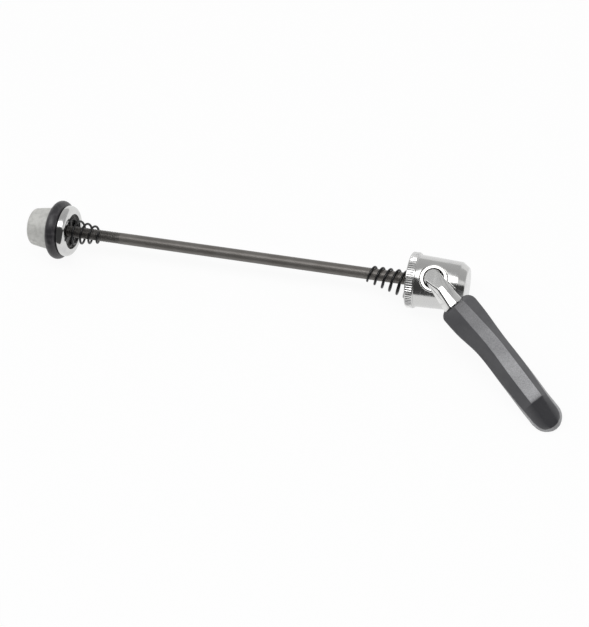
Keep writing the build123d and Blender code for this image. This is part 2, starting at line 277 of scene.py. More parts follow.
class Surface(Tree):
    """A procedural material around one Principled shader."""

    # Sockets of a Mix node that mixes colours, by index.
    MIX_FACTOR = 0
    MIX_COLOURS = (6, 7)
    MIX_RESULT = 2

    def __init__(self, name: str) -> None:
        """Starts a material with an empty tree, a shader and an output.

        Args:
            name: The material's name.
        """
        self.material = bpy.data.materials.new(name)
        self.material.use_nodes = True
        super().__init__(self.material.node_tree)
        self.tree.nodes.clear()
        self.shader = self.tree.nodes.new("ShaderNodeBsdfPrincipled")
        self.output = self.tree.nodes.new("ShaderNodeOutputMaterial")
        self.tree.links.new(self.shader.outputs[0], self.output.inputs["Surface"])

    def place(self, scale: Point3 = (1.0, 1.0, 1.0)) -> Flow:
        """Object coordinates, stretched by a scale."""
        place = self.add("ShaderNodeTexCoord", output="Object")
        return self.add("ShaderNodeMapping", None, {"Vector": place, "Scale": scale})

    def noise(self, cell_mm: float, detail: float = 2.0, stretch: Point3 = (1.0, 1.0, 1.0)) -> Flow:
        """Noise with cells of about the given size.

        Args:
            cell_mm: Size of a cell in millimetres.
            detail: Octaves of finer noise.
            stretch: Scale of the coordinates; less than 1 draws the cells out along that axis.

        Returns:
            A value about 0.5.
        """
        inputs = {"Vector": self.place(stretch), "Scale": 1.0 / (cell_mm * MM), "Detail": detail}
        return self.add("ShaderNodeTexNoise", None, inputs)

    def blend(self, factor: Any, first: Any, second: Any) -> Flow:
        """Mixes two colours by a factor.

        Args:
            factor: 0 for the first colour, 1 for the second.
            first: A colour or a flow.
            second: A colour or a flow.

        Returns:
            The mixed colour.
        """
        colours = [value if isinstance(value, Flow) else (*value, 1.0) for value in (first, second)]
        inputs = {self.MIX_FACTOR: factor, **dict(zip(self.MIX_COLOURS, colours))}
        return self.add("ShaderNodeMix", {"data_type": "RGBA"}, inputs, output=self.MIX_RESULT)

    def bump(self, height: Flow, depth_mm: float, strength: float = 1.0, onto: Flow | None = None) -> Flow:
        """Normal of a surface raised by a height.

        Args:
            height: The relief, from 0 to 1.
            depth_mm: What 1 stands for, in millimetres.
            strength: Share of the effect.
            onto: A normal that this one goes on top of.

        Returns:
            The normal.
        """
        inputs = {"Height": height, "Distance": depth_mm * MM, "Strength": strength}
        if onto is not None:
            inputs["Normal"] = onto
        return self.add("ShaderNodeBump", None, inputs)

    def attribute(self, name: str) -> Flow:
        """A number that the mesh carries."""
        return self.add("ShaderNodeAttribute", {"attribute_name": name}, output="Fac")

    def rod_distance(self) -> Flow:
        """Distance from the rod's axis in millimetres.

        Returns:
            The distance.
        """
        place = self.add("ShaderNodeTexCoord", output="Object")
        flatten = {0: place, 1: (0.0, 1.0, 1.0)}
        across = self.add("ShaderNodeVectorMath", {"operation": "MULTIPLY"}, flatten)
        return self.add("ShaderNodeVectorMath", {"operation": "LENGTH"}, {0: across}, output="Value") / MM

    def finish(self, **sockets: Any) -> Material:
        """Feeds the shader.

        Args:
            sockets: Values or flows by socket name, with underscores for blanks.

        Returns:
            The material.
        """
        for name, value in sockets.items():
            self.feed(self.shader.inputs[name.replace("_", " ")], value)
        return self.material


@dataclass(frozen=True)
class Chrome:
    """Bright plating over polishing lines, with faint clouding, soft waviness, and painted shade in its
    hollows and on faces that a mesh marks.
    """

    name: str
    # Painted shade: a dark colour within a radius of the rod's axis, with a soft edge, or on faces that a
    # mesh attribute marks.
    painted_shade_within: float = 0.0
    painted_shade_edge: float = 0.1
    painted_shade_attribute: str = ""
    oil: Colour = (0.035, 0.034, 0.033)
    tint: Colour = (0.70, 0.70, 0.69)
    dull_tint: Colour = (0.60, 0.60, 0.60)
    roughness: float = 0.14
    cloud_mm: float = 3.0
    cloud_band: Point2 = (0.4, 0.75)
    clouding: float = 0.08
    wave_mm: float = 2.5
    wave_depth_mm: float = 0.0015
    line_mm: float = 0.3
    line_depth_mm: float = 0.004
    line_stretch: Point3 = (1.0, 0.03, 0.03)
    line_band: Point2 = (0.5, 0.75)
    line_roughness: float = 0.06

    def material(self) -> Material:
        """Builds the material.

        Returns:
            The material.
        """
        surface = Surface(self.name)
        mask = surface.noise(self.cloud_mm, detail=3.0).band(*self.cloud_band)
        lines = surface.noise(self.line_mm, stretch=self.line_stretch)
        waves = surface.noise(self.wave_mm, detail=1.0)
        polished = surface.bump(lines, self.line_depth_mm)
        colour = surface.blend(mask, self.tint, self.dull_tint)
        # Painted shade, on faces that the mesh marks and within a radius of the axis.
        if self.painted_shade_attribute:
            colour = surface.blend(surface.attribute(self.painted_shade_attribute), colour, self.oil)
        if self.painted_shade_within:
            low, high = self.painted_shade_within - self.painted_shade_edge, self.painted_shade_within + self.painted_shade_edge
            colour = surface.blend(surface.rod_distance().band(low, high), self.oil, colour)
        dulled = self.clouding * mask + self.line_roughness * lines.band(*self.line_band)
        return surface.finish(
            Base_Color=colour,
            Metallic=1.0,
            Roughness=self.roughness + dulled,
            Normal=surface.bump(waves, self.wave_depth_mm, onto=polished),
        )


@dataclass(frozen=True)
class TumbledAluminium:
    """Matte cast aluminium, mottled by tumbling, with faint turning marks."""

    name: str = "tumbled_aluminium"
    light: Colour = (0.66, 0.66, 0.635)
    shade: Colour = (0.56, 0.56, 0.535)
    metallic: float = 0.3
    roughness: float = 0.52
    mottle_mm: float = 1.6
    mottle_band: Point2 = (0.35, 0.7)
    mottle_roughness: float = 0.12
    grain_mm: float = 0.18
    turning_mm: float = 0.22
    turning_stretch: Point3 = (1.0, 0.02, 0.02)
    turning_share: float = 0.5
    pit_mm: float = 0.5
    pit_band: Point2 = (0.62, 0.72)
    pit_share: float = 0.6
    pit_roughness: float = 0.1
    relief_depth_mm: float = 0.02
    relief_strength: float = 0.7

    def material(self) -> Material:
        """Builds the material.

        Returns:
            The material.
        """
        surface = Surface(self.name)
        mottle = surface.noise(self.mottle_mm, detail=4.0)
        turning = surface.noise(self.turning_mm, detail=1.0, stretch=self.turning_stretch)
        pits = surface.noise(self.pit_mm).band(*self.pit_band)
        relief = surface.noise(self.grain_mm) + self.turning_share * turning - self.pit_share * pits
        return surface.finish(
            Base_Color=surface.blend(mottle.band(*self.mottle_band), self.light, self.shade),
            Metallic=self.metallic,
            Roughness=self.roughness + self.mottle_roughness * mottle + self.pit_roughness * pits,
            Normal=surface.bump(relief, self.relief_depth_mm, self.relief_strength),
        )


@dataclass(frozen=True)
class PatchedFinish:
    """Base of the plainer finishes: two colours in soft patches, over a fine relief."""

    name: str
    main: Colour
    patch: Colour
    roughness: float
    patch_mm: float
    patch_detail: float
    patch_roughness: float
    relief_mm: float
    relief_depth_mm: float
    relief_strength: float
    patch_band: Point2 | None = None
    relief_detail: float = 2.0
    relief_stretch: Point3 = (1.0, 1.0, 1.0)
    relief_roughness: float = 0.0
    metallic: float = 0.0
    specular: float = 0.5

    def material(self) -> Material:
        """Builds the material.

        Returns:
            The material.
        """
        surface = Surface(self.name)
        patches = surface.noise(self.patch_mm, self.patch_detail)
        relief = surface.noise(self.relief_mm, self.relief_detail, self.relief_stretch)
        mask = patches.band(*self.patch_band) if self.patch_band else patches
        roughness = self.roughness + self.patch_roughness * patches
        if self.relief_roughness:
            roughness = roughness + self.relief_roughness * relief
        return surface.finish(
            Base_Color=surface.blend(mask, self.main, self.patch),
            Metallic=self.metallic,
            Roughness=roughness,
            Specular_IOR_Level=self.specular,
            Normal=surface.bump(relief, self.relief_depth_mm, self.relief_strength),
        )


@dataclass(frozen=True)
class DarkRodSteel(PatchedFinish):
    """Oxide-darkened drawn steel with lengthwise draw lines."""

    name: str = "dark_rod_steel"
    main: Colour = (0.155, 0.145, 0.135)
    patch: Colour = (0.18, 0.17, 0.16)
    roughness: float = 0.36
    patch_mm: float = 7.0
    patch_detail: float = 3.0
    patch_band: Point2 | None = (0.35, 0.7)
    patch_roughness: float = 0.04
    relief_mm: float = 0.35
    relief_stretch: Point3 = (0.03, 1.0, 1.0)
    relief_depth_mm: float = 0.002
    relief_strength: float = 0.6
    relief_roughness: float = 0.08
    metallic: float = 0.55


@dataclass(frozen=True)
class BlackWire(PatchedFinish):
    """Black spring wire with a thin oil sheen, rubbed paler in places."""

    name: str = "black_wire"
    main: Colour = (0.018, 0.018, 0.019)
    patch: Colour = (0.06, 0.058, 0.056)
    roughness: float = 0.3
    patch_mm: float = 0.9
    patch_detail: float = 3.0
    patch_band: Point2 | None = (0.5, 0.8)
    patch_roughness: float = 0.15
    relief_mm: float = 0.15
    relief_depth_mm: float = 0.006
    relief_strength: float = 0.5
    metallic: float = 0.6


@dataclass(frozen=True)
class BlackRubber(PatchedFinish):
    """Smooth moulded rubber with a dull bloom and fine grain."""

    name: str = "black_rubber"
    main: Colour = (0.022, 0.021, 0.024)
    patch: Colour = (0.055, 0.052, 0.056)
    roughness: float = 0.3
    patch_mm: float = 1.8
    patch_detail: float = 4.0
    patch_band: Point2 | None = (0.45, 0.75)
    patch_roughness: float = 0.18
    relief_mm: float = 0.12
    relief_depth_mm: float = 0.012
    relief_strength: float = 0.6
    specular: float = 0.55


@dataclass(frozen=True)
class PlainSteel(PatchedFinish):
    """Turned or stamped steel with no plating, stained in places."""

    name: str = "plain_steel"
    main: Colour = (0.52, 0.51, 0.50)
    patch: Colour = (0.36, 0.35, 0.34)
    roughness: float = 0.3
    patch_mm: float = 1.5
    patch_detail: float = 3.0
    patch_band: Point2 | None = (0.4, 0.7)
    patch_roughness: float = 0.2
    relief_mm: float = 0.2
    relief_detail: float = 1.0
    relief_depth_mm: float = 0.008
    relief_strength: float = 0.5
    metallic: float = 0.95


@dataclass(frozen=True)
class NaturalNylon(PatchedFinish):
    """Milky nylon with a waxy surface."""

    name: str = "natural_nylon"
    main: Colour = (0.80, 0.78, 0.70)
    patch: Colour = (0.70, 0.67, 0.58)
    roughness: float = 0.38
    patch_mm: float = 1.2
    patch_detail: float = 2.0
    patch_roughness: float = 0.1
    relief_mm: float = 0.2
    relief_detail: float = 1.0
    relief_depth_mm: float = 0.01
    relief_strength: float = 0.4


@dataclass(frozen=True)
class GrainedPlastic:
    """Dark moulded plastic: smooth sides, grained panels scuffed pale with a painted highlight, a nose in
    painted shade and a glossy rim with a painted reflection.
    """

    name: str = "grained_plastic"
    panel_attribute: str = "panel"
    nose_attribute: str = "nose"
    rim_attribute: str = "rim"
    dark: Colour = (0.084, 0.084, 0.09)
    worn: Colour = (0.102, 0.102, 0.107)
    nose_painted_shade: Colour = (0.032, 0.032, 0.036)
    panel_dark: Colour = (0.11, 0.11, 0.115)
    panel_scuff_and_highlight: Colour = (0.46, 0.46, 0.475)
    rim_painted_reflection: Colour = (0.42, 0.42, 0.43)
    rub_mm: float = 8.0
    rub_band: Point2 = (0.3, 0.7)
    grain_mm: float = 0.42
    grain_depth_mm: float = 0.05
    grain_strength: float = 0.8
    speck_band: Point2 = (0.36, 0.66)
    panel_band: Point2 = (0.15, 0.85)
    panel_gain: float = 4.0
    panel_fray: float = 0.8
    scuff_and_highlight_least: float = 0.55
    scuff_and_highlight_rubbed: float = 0.25
    scuff_and_highlight_specked: float = 0.4
    nose_shade_least: float = 0.75
    nose_grain: float = 0.25
    rim_reflection_least: float = 0.5
    smooth_grain: float = 0.08
    roughness: float = 0.36
    panel_roughness: float = 0.2
    grain_roughness: float = 0.08
    rim_gloss: float = 0.16

    def material(self) -> Material:
        """Builds the material.

        Returns:
            The material.
        """
        surface = Surface(self.name)
        panel = surface.attribute(self.panel_attribute)
        nose = surface.attribute(self.nose_attribute)
        rim = surface.attribute(self.rim_attribute)
        grain = surface.noise(self.grain_mm, detail=3.0)
        rubbed = surface.noise(self.rub_mm).band(*self.rub_band)
        specks = grain.band(*self.speck_band)
        # Panel paleness: scuffing and a painted highlight, stronger where the mesh marks more panel.
        scuffed_and_lit = self.scuff_and_highlight_least + self.scuff_and_highlight_rubbed * rubbed + self.scuff_and_highlight_specked * specks
        scuff_and_highlight = (panel * scuffed_and_lit).least(1.0)
        frayed = panel * self.panel_gain + self.panel_fray * (specks - 0.5)
        on_panel = frayed.band(*self.panel_band)
        smooth_colour = surface.blend(rubbed, self.dark, self.worn)
        # Painted shade on the nose, broken up by the grain's specks.
        nose_shaded = nose * (self.nose_shade_least + (1.0 - self.nose_shade_least) * specks)
        smooth_colour = surface.blend(nose_shaded, smooth_colour, self.nose_painted_shade)
        # Painted reflection of the floor on the rim, varied by the rubbed noise.
        rim_reflection = rim * (self.rim_reflection_least + (1.0 - self.rim_reflection_least) * rubbed)
        smooth_colour = surface.blend(rim_reflection, smooth_colour, self.rim_painted_reflection)
        panel_colour = surface.blend(scuff_and_highlight, self.panel_dark, self.panel_scuff_and_highlight)
        grained = on_panel.most(self.nose_grain * nose).most(self.smooth_grain)
        dulled = self.panel_roughness * on_panel + self.grain_roughness * grain
        return surface.finish(
            Base_Color=surface.blend(on_panel, smooth_colour, panel_colour),
            Roughness=self.roughness + dulled - self.rim_gloss * rim,
            Normal=surface.bump(grain * grained, self.grain_depth_mm, self.grain_strength),
        )


@contextmanager
def editing(mesh: Mesh) -> Iterator[bmesh.types.BMesh]:
    """Opens a mesh for changes and writes them back at the end of the block.

    Args:
        mesh: The mesh to change, or a new one to fill.

    Yields:
        The mesh's shape, for bmesh.
    """
    shape = bmesh.new()
    shape.from_mesh(mesh)
    yield shape
    shape.to_mesh(mesh)
    shape.free()


def linked(name: str, data: bpy.types.ID) -> bpy.types.Object:
    """Makes an object of a mesh, a lamp or a camera and links it to the scene.

    Args:
        name: The object's name.
        data: What it shows.

    Returns:
        The object.
    """
    thing = bpy.data.objects.new(name, data)
    bpy.context.scene.collection.objects.link(thing)
    return thing


def smooth_by_angle(mesh: Mesh, degrees: float = SMOOTH_TURN) -> None:
    """Shades a mesh smooth, apart from edges that turn by more than an angle.

    Args:
        mesh: The mesh.
        degrees: The angle.
    """
    limit = math.radians(degrees)
    with editing(mesh) as shape:
        for face in shape.faces:
            face.smooth = True
        for edge in shape.edges:
            edge.smooth = len(edge.link_faces) == 2 and edge.calc_face_angle(0.0) < limit


def new_piece(name: str, mesh: Mesh, body: Body, finish: Material) -> bpy.types.Object:
    """Makes an object of a mesh, dresses it and lets it ride on a body.

    Args:
        name: The piece's name.
        mesh: Its mesh, in place in the frame.
        body: The body that it moves with.
        finish: Its material.

    Returns:
        The object.
    """
    mesh.materials.clear()
    mesh.materials.append(finish)
    piece = linked(name, mesh)
    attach(piece, body.value)
    LOG.info("%s: %d faces on %s", name, len(mesh.polygons), body.value)
    return piece


def baked(piece: bpy.types.Object) -> Mesh:
    """Evaluates an object's modifiers to a plain mesh and removes the object.

    Args:
        piece: The object, which is gone afterwards.

    Returns:
        The plain mesh.
    """
    bpy.context.view_layer.update()
    graph = bpy.context.evaluated_depsgraph_get()
    mesh = bpy.data.meshes.new_from_object(piece.evaluated_get(graph))
    bpy.data.objects.remove(piece)
    return mesh


def firmed(mesh: Mesh, weight: int = 50) -> Mesh:
    """Lets the large faces of a mesh lead its shading, so that flats stay flat beside their roundings.

    Args:
        mesh: The mesh.
        weight: How much larger faces lead, from 1 to 100.

    Returns:
        The mesh with normals of its own.
    """
    holder = linked(f"{mesh.name}_firm", mesh)
    firm = holder.modifiers.new("firm", "WEIGHTED_NORMAL")
    firm.mode = "FACE_AREA"
    firm.weight = weight
    firm.keep_sharp = True
    return baked(holder)


def with_bevel(mesh: Mesh, width_mm: float, segments: int, degrees: float, flat_mm2: float = 0.0) -> Mesh:
    """Rounds the sharp edges of a mesh, and the ridges between its large flats.

    Args:
        mesh: The mesh to round.
        width_mm: Width of the rounding.
        segments: Faces across the rounding.
        degrees: Edges that turn by more than this are rounded.
        flat_mm2: Area from which two flats have the ridge between them rounded too, or 0 for none.

    Returns:
        The rounded mesh, shaded.
    """
    least_area = flat_mm2 * MM**2
    with editing(mesh) as shape:
        weight = shape.edges.layers.float.new("bevel_weight_edge")
        for edge in shape.edges:
            turn = math.degrees(edge.calc_face_angle(0.0)) if len(edge.link_faces) == 2 else 0.0
            broad = flat_mm2 > 0 and all(face.calc_area() > least_area for face in edge.link_faces)
            edge[weight] = 1.0 if turn > degrees or (broad and turn > RIDGE_TURN) else 0.0
    holder = linked(f"{mesh.name}_bevel", mesh)
    bevel = holder.modifiers.new("ease", "BEVEL")
    bevel.width = width_mm * MM
    bevel.segments = segments
    bevel.limit_method = "WEIGHT"
    bevel.use_clamp_overlap = flat_mm2 == 0
    eased = baked(holder)
    smooth_by_angle(eased)
    return firmed(eased) if flat_mm2 > 0 else eased


def eased_copy(node: str, width_mm: float, segments: int = 3, flat_mm2: float = 0.0) -> Mesh:
    """Copies a solid's mesh, joins its loose triangles into flats and rounds its edges.

    Args:
        node: The solid's node.
        width_mm: Width of the rounding.
        segments: Faces across the rounding.
        flat_mm2: Area from which two flats have the ridge between them rounded too, or 0 for none.

    Returns:
        The new mesh.
    """
    mesh = bpy.data.objects[node].data.copy()
    mesh.name = f"{node}_eased"
    flat = math.radians(FLAT_TURN)
    with editing(mesh) as shape:
        bmesh.ops.remove_doubles(shape, verts=shape.verts, dist=COPY_MERGE * MM)
        bmesh.ops.dissolve_limit(shape, angle_limit=flat, verts=shape.verts, edges=shape.edges)
    return with_bevel(mesh, width_mm, segments, SHARP_TURN, flat_mm2)


@dataclass(frozen=True)
class Corner:
    """A corner of a turned outline: place along X, radius, and the rounding there."""

    x: float
    radius: float
    ease: float = 0.0


def eased_outline(corners: Sequence[Corner], steps: int = 7, guard: float = 0.12) -> list[Point2]:
    """Replaces the rounded corners of a closed outline by arcs.

    Args:
        corners: The outline's corners in order.
        steps: Points on each arc, less one.
        guard: How far beyond each end of an arc one more point lies, as a share of the rounding.
            It keeps the straight runs straight.

    Returns:
        Points of (x, radius).
    """
    points: list[Point2] = []
    count = len(corners)
    for index, corner in enumerate(corners):
        here = Vector((corner.x, corner.radius))
        before = corners[index - 1]
        after = corners[(index + 1) % count]
        back = (Vector((before.x, before.radius)) - here).normalized()
        ahead = (Vector((after.x, after.radius)) - here).normalized()
        if corner.ease <= 0:
            points.append((here.x, here.y))
            continue
        half = back.angle(ahead) / 2
        reach = corner.ease / math.tan(half)
        centre = here + (back + ahead).normalized() * (corner.ease / math.sin(half))
        start = here + back * reach - centre
        turn = start.angle_signed(here + ahead * reach - centre)
        points.append(tuple(here + back * (reach + guard * corner.ease)))
        for step in range(steps + 1):
            spoke = Matrix.Rotation(-turn * step / steps, 2) @ start
            points.append((centre.x + spoke.x, centre.y + spoke.y))
        points.append(tuple(here + ahead * (reach + guard * corner.ease)))
    return points


def skinned(shape: bmesh.types.BMesh, rings: Sequence[Sequence[bmesh.types.BMVert]]) -> None:
    """Joins each ring of points to the next one by a belt of faces.

    Args:
        shape: The shape that the points are in.
        rings: Rings of as many points each, in order.
    """
    for ring, other in zip(rings, rings[1:]):
        for index in range(len(ring)):
            follow = (index + 1) % len(ring)
            shape.faces.new((ring[index], ring[follow], other[follow], other[index]))


def turned(name: str, outline: Sequence[Point2], segments: int = 144) -> Mesh:
    """Turns a closed outline about the rod's axis.

    Args:
        name: The mesh's name.
        outline: Points of (x, radius) in millimetres.
        segments: Faces around.

    Returns:
        A closed mesh.
    """
    mesh = bpy.data.meshes.new(name)
    with editing(mesh) as shape:
        rings = []
        for step in range(segments):
            angle = FULL_TURN * step / segments
            across, up = math.cos(angle), math.sin(angle)
            rings.append([shape.verts.new(Vector((x, r * across, r * up)) * MM) for x, r in outline])
        skinned(shape, [*rings, rings[0]])
        bmesh.ops.remove_doubles(shape, verts=shape.verts, dist=TURNED_MERGE * MM)
        bmesh.ops.recalc_face_normals(shape, faces=shape.faces)
    smooth_by_angle(mesh)
    return mesh


class ShapeTree(Tree):
    """A Geometry Nodes tree with named sizes, baked once to a plain mesh."""

    def __init__(self, name: str, sizes: dict[str, float | int], finish: Material) -> None:
        """Starts a tree.

        Args:
            name: The tree's name.
            sizes: Its named inputs and their values.
            finish: The material that it sets.
        """
        group = bpy.data.node_groups.new(name, "GeometryNodeTree")
        super().__init__(group)
        self.sizes = sizes
        self.finish = finish
        self.group_sockets: dict[str, str] = {}
        group.interface.new_socket("Geometry", in_out="OUTPUT", socket_type="NodeSocketGeometry")
        for label, value in sizes.items():
            kind = "NodeSocketInt" if isinstance(value, int) else "NodeSocketFloat"
            socket = group.interface.new_socket(label, in_out="INPUT", socket_type=kind)
            self.group_sockets[label] = socket.identifier
        self.inlet = group.nodes.new("NodeGroupInput")

    def size(self, label: str) -> Flow:
        """One of the named sizes."""
        return Flow(self, self.inlet.outputs[label])

    def bake(self, geometry: Flow) -> Mesh:
        """Ends the tree in plain geometry with its material, and evaluates it.

        Args:
            geometry: The finished shape.

        Returns:
            A plain mesh.
        """
        real = self.add("GeometryNodeRealizeInstances", None, {"Geometry": geometry})
        dressed = self.add("GeometryNodeSetMaterial", None, {"Geometry": real, "Material": self.finish})
        self.add("NodeGroupOutput", None, {"Geometry": dressed})
        holder = linked(self.tree.name, bpy.data.meshes.new(self.tree.name))
        modifier = holder.modifiers.new("shape", "NODES")
        modifier.node_group = self.tree
        for label, value in self.sizes.items():
            modifier[self.group_sockets[label]] = value
        return baked(holder)


def knurl_tree(name: str, finish: Material, teeth: int, sizes: dict[str, float]) -> Mesh:
    """Straight knurl: ridges with a flat crest, set around a circle on the X axis.

    Args:
        name: The tree's name.
        finish: The ridges' material.
        teeth: Number of ridges.
        sizes: Tip Radius, Ridge Radius, Ridge Length and Middle, in metres, and Ridge Spread, a scale.

    Returns:
        The ridges as one mesh.
    """
    tree = ShapeTree(name, {"Teeth": teeth, **sizes}, finish)
    radius = tree.size("Ridge Radius")
    seat = tree.size("Tip Radius") - radius * math.cos(RIDGE_HALF_SIDE)
    circle = tree.add("GeometryNodeMeshCircle", None, {"Vertices": tree.size("Teeth"), "Radius": seat})
    bar_inputs = {"Vertices": RIDGE_SIDES, "Radius": radius, "Depth": tree.size("Ridge Length")}
    bar = tree.add("GeometryNodeMeshCylinder", None, bar_inputs)
    lying = {"Geometry": bar, "Rotation": (0.0, 0.0, RIDGE_HALF_SIDE)}
    ridge = tree.add("GeometryNodeTransform", None, lying)
    outward = tree.add("GeometryNodeInputPosition")
    aim = tree.add("FunctionNodeAlignRotationToVector", {"axis": "X"}, {"Vector": outward})
    spread = tree.add("ShaderNodeCombineXYZ", None, {"X": 1.0, "Y": tree.size("Ridge Spread"), "Z": 1.0})
    placed = {"Points": circle, "Instance": ridge, "Rotation": aim, "Scale": spread}
    ridges = tree.add("GeometryNodeInstanceOnPoints", None, placed)
    along = tree.add("ShaderNodeCombineXYZ", None, {"X": tree.size("Middle")})
    turn = {"Geometry": ridges, "Translation": along, "Rotation": (0.0, QUARTER_TURN, 0.0)}
    return tree.bake(tree.add("GeometryNodeTransform", None, turn))


def spring_tree(name: str, finish: Material, sizes: dict[str, float | int]) -> Mesh:
    """Conical spring: wire along a widening helix on Z.

    Args:
        name: The tree's name.
        finish: The wire's material.
        sizes: Turns, Steps of a turn and Sides of the wire, and in metres Narrow Radius, Wide Radius,
            Length and Wire.

    Returns:
        The spring as one mesh.
    """
    tree = ShapeTree(name, sizes, finish)
    helix = {
        "Resolution": tree.size("Steps"),
        "Rotations": tree.size("Turns"),
        "Start Radius": tree.size("Narrow Radius"),
        "End Radius": tree.size("Wide Radius"),
        "Height": tree.size("Length"),
    }
    path = tree.add("GeometryNodeCurveSpiral", None, helix)
    round_wire = {"Resolution": tree.size("Sides"), "Radius": tree.size("Wire") * 0.5}
    section = tree.add("GeometryNodeCurvePrimitiveCircle", None, round_wire)
    sweep = {"Curve": path, "Profile Curve": section, "Fill Caps": True}
    wire = tree.add("GeometryNodeCurveToMesh", None, sweep)
    return tree.bake(tree.add("GeometryNodeSetShadeSmooth", None, {"Geometry": wire}))


def thread_tree(
    name: str,
    finish: Material,
    sizes: dict[str, float],
    steps_per_turn: int = 9,
    columns: int = 41,
    flank: Point2 = (1.15, 1.3),
    smooth_turn: float = 75.0,
) -> Mesh:
    """Screw thread: a closed bar along X whose radius follows a helical ridge that runs out at its end.

    Args:
        name: The tree's name.
        finish: The thread's material.
        sizes: Start, Length, Radius, Pitch, Depth and Run Out, in metres.
        steps_per_turn: Rows of points to one pitch.
        columns: Points around, with the seam's counted twice.
        flank: The groove's depth at its middle and the fall from there to the crest, as shares of Depth,
            before they are cut off at 0 and 1.
        smooth_turn: Degrees up to which the flanks are shaded as one.

    Returns:
        The thread as one mesh.
    """
    tree = ShapeTree(name, sizes, finish)
    rows = round(sizes["Length"] / sizes["Pitch"] * steps_per_turn)
    grid_inputs = {"Size X": 1.0, "Size Y": 1.0, "Vertices X": rows, "Vertices Y": columns}
    grid = tree.add("GeometryNodeMeshGrid", None, grid_inputs)
    place = tree.add("GeometryNodeInputPosition")
    along = tree.add("ShaderNodeSeparateXYZ", None, {"Vector": place}, output="X") + 0.5
    around = tree.add("ShaderNodeSeparateXYZ", None, {"Vector": place}, output="Y") + 0.5
    distance = along * tree.size("Length")
    ridge = abs((distance / tree.size("Pitch") - around).fraction() * 2.0 - 1.0)
    floor, fall = flank
    groove = (floor - ridge * fall).most(0.0).least(1.0)
    run_out = ((tree.size("Length") - distance) / tree.size("Run Out")).least(1.0)
    lead_in = 1.0 - (distance / tree.size("Pitch")).least(1.0)
    inside = (along.least(1.0 - along) * (rows - 1.0)).least(1.0)
    radius = (tree.size("Radius") - tree.size("Depth") * (groove * run_out).most(lead_in)) * inside
    angle = around * FULL_TURN
    spot = {"X": tree.size("Start") + distance, "Y": radius * angle.cosine(), "Z": radius * angle.sine()}
    position = tree.add("ShaderNodeCombineXYZ", None, spot)
    wrapped = tree.add("GeometryNodeSetPosition", None, {"Geometry": grid, "Position": position})
    merge = {"Geometry": wrapped, "Distance": THREAD_MERGE * MM}
    joined = tree.add("GeometryNodeMergeByDistance", None, merge)
    mesh = tree.bake(tree.add("GeometryNodeFlipFaces", None, {"Mesh": joined}))
    smooth_by_angle(mesh, smooth_turn)
    return mesh


@dataclass
class PivotFrame:
    """Where the lever turns: its place on the rod's axis and its direction, from the frame's joint."""

    joints: Sequence[dict[str, Any]]
    rest_angle: float = 43.0

    @property
    def joint(self) -> dict[str, Any]:
        """The lever's joint."""
        return next(joint for joint in self.joints if joint["name"] == "lever_turn")

    def cross(self) -> Matrix:
        """Frame with Z out along the lever's shaft and X along the rod, in metres.

        Returns:
            The frame as a matrix.
        """
        up = -Vector(self.joint["axis"]).normalized()
        along = Vector((1.0, 0.0, 0.0))
        turn = Matrix((along, up.cross(along), up)).transposed().to_4x4()
        return Matrix.Translation(Vector(self.joint["pos_m"])) @ turn

    def lever(self) -> Matrix:
        """Frame with X along the lever, Z out along its shaft, in metres."""
        return self.cross() @ Matrix.Rotation(-math.radians(self.rest_angle), 4, "Z")


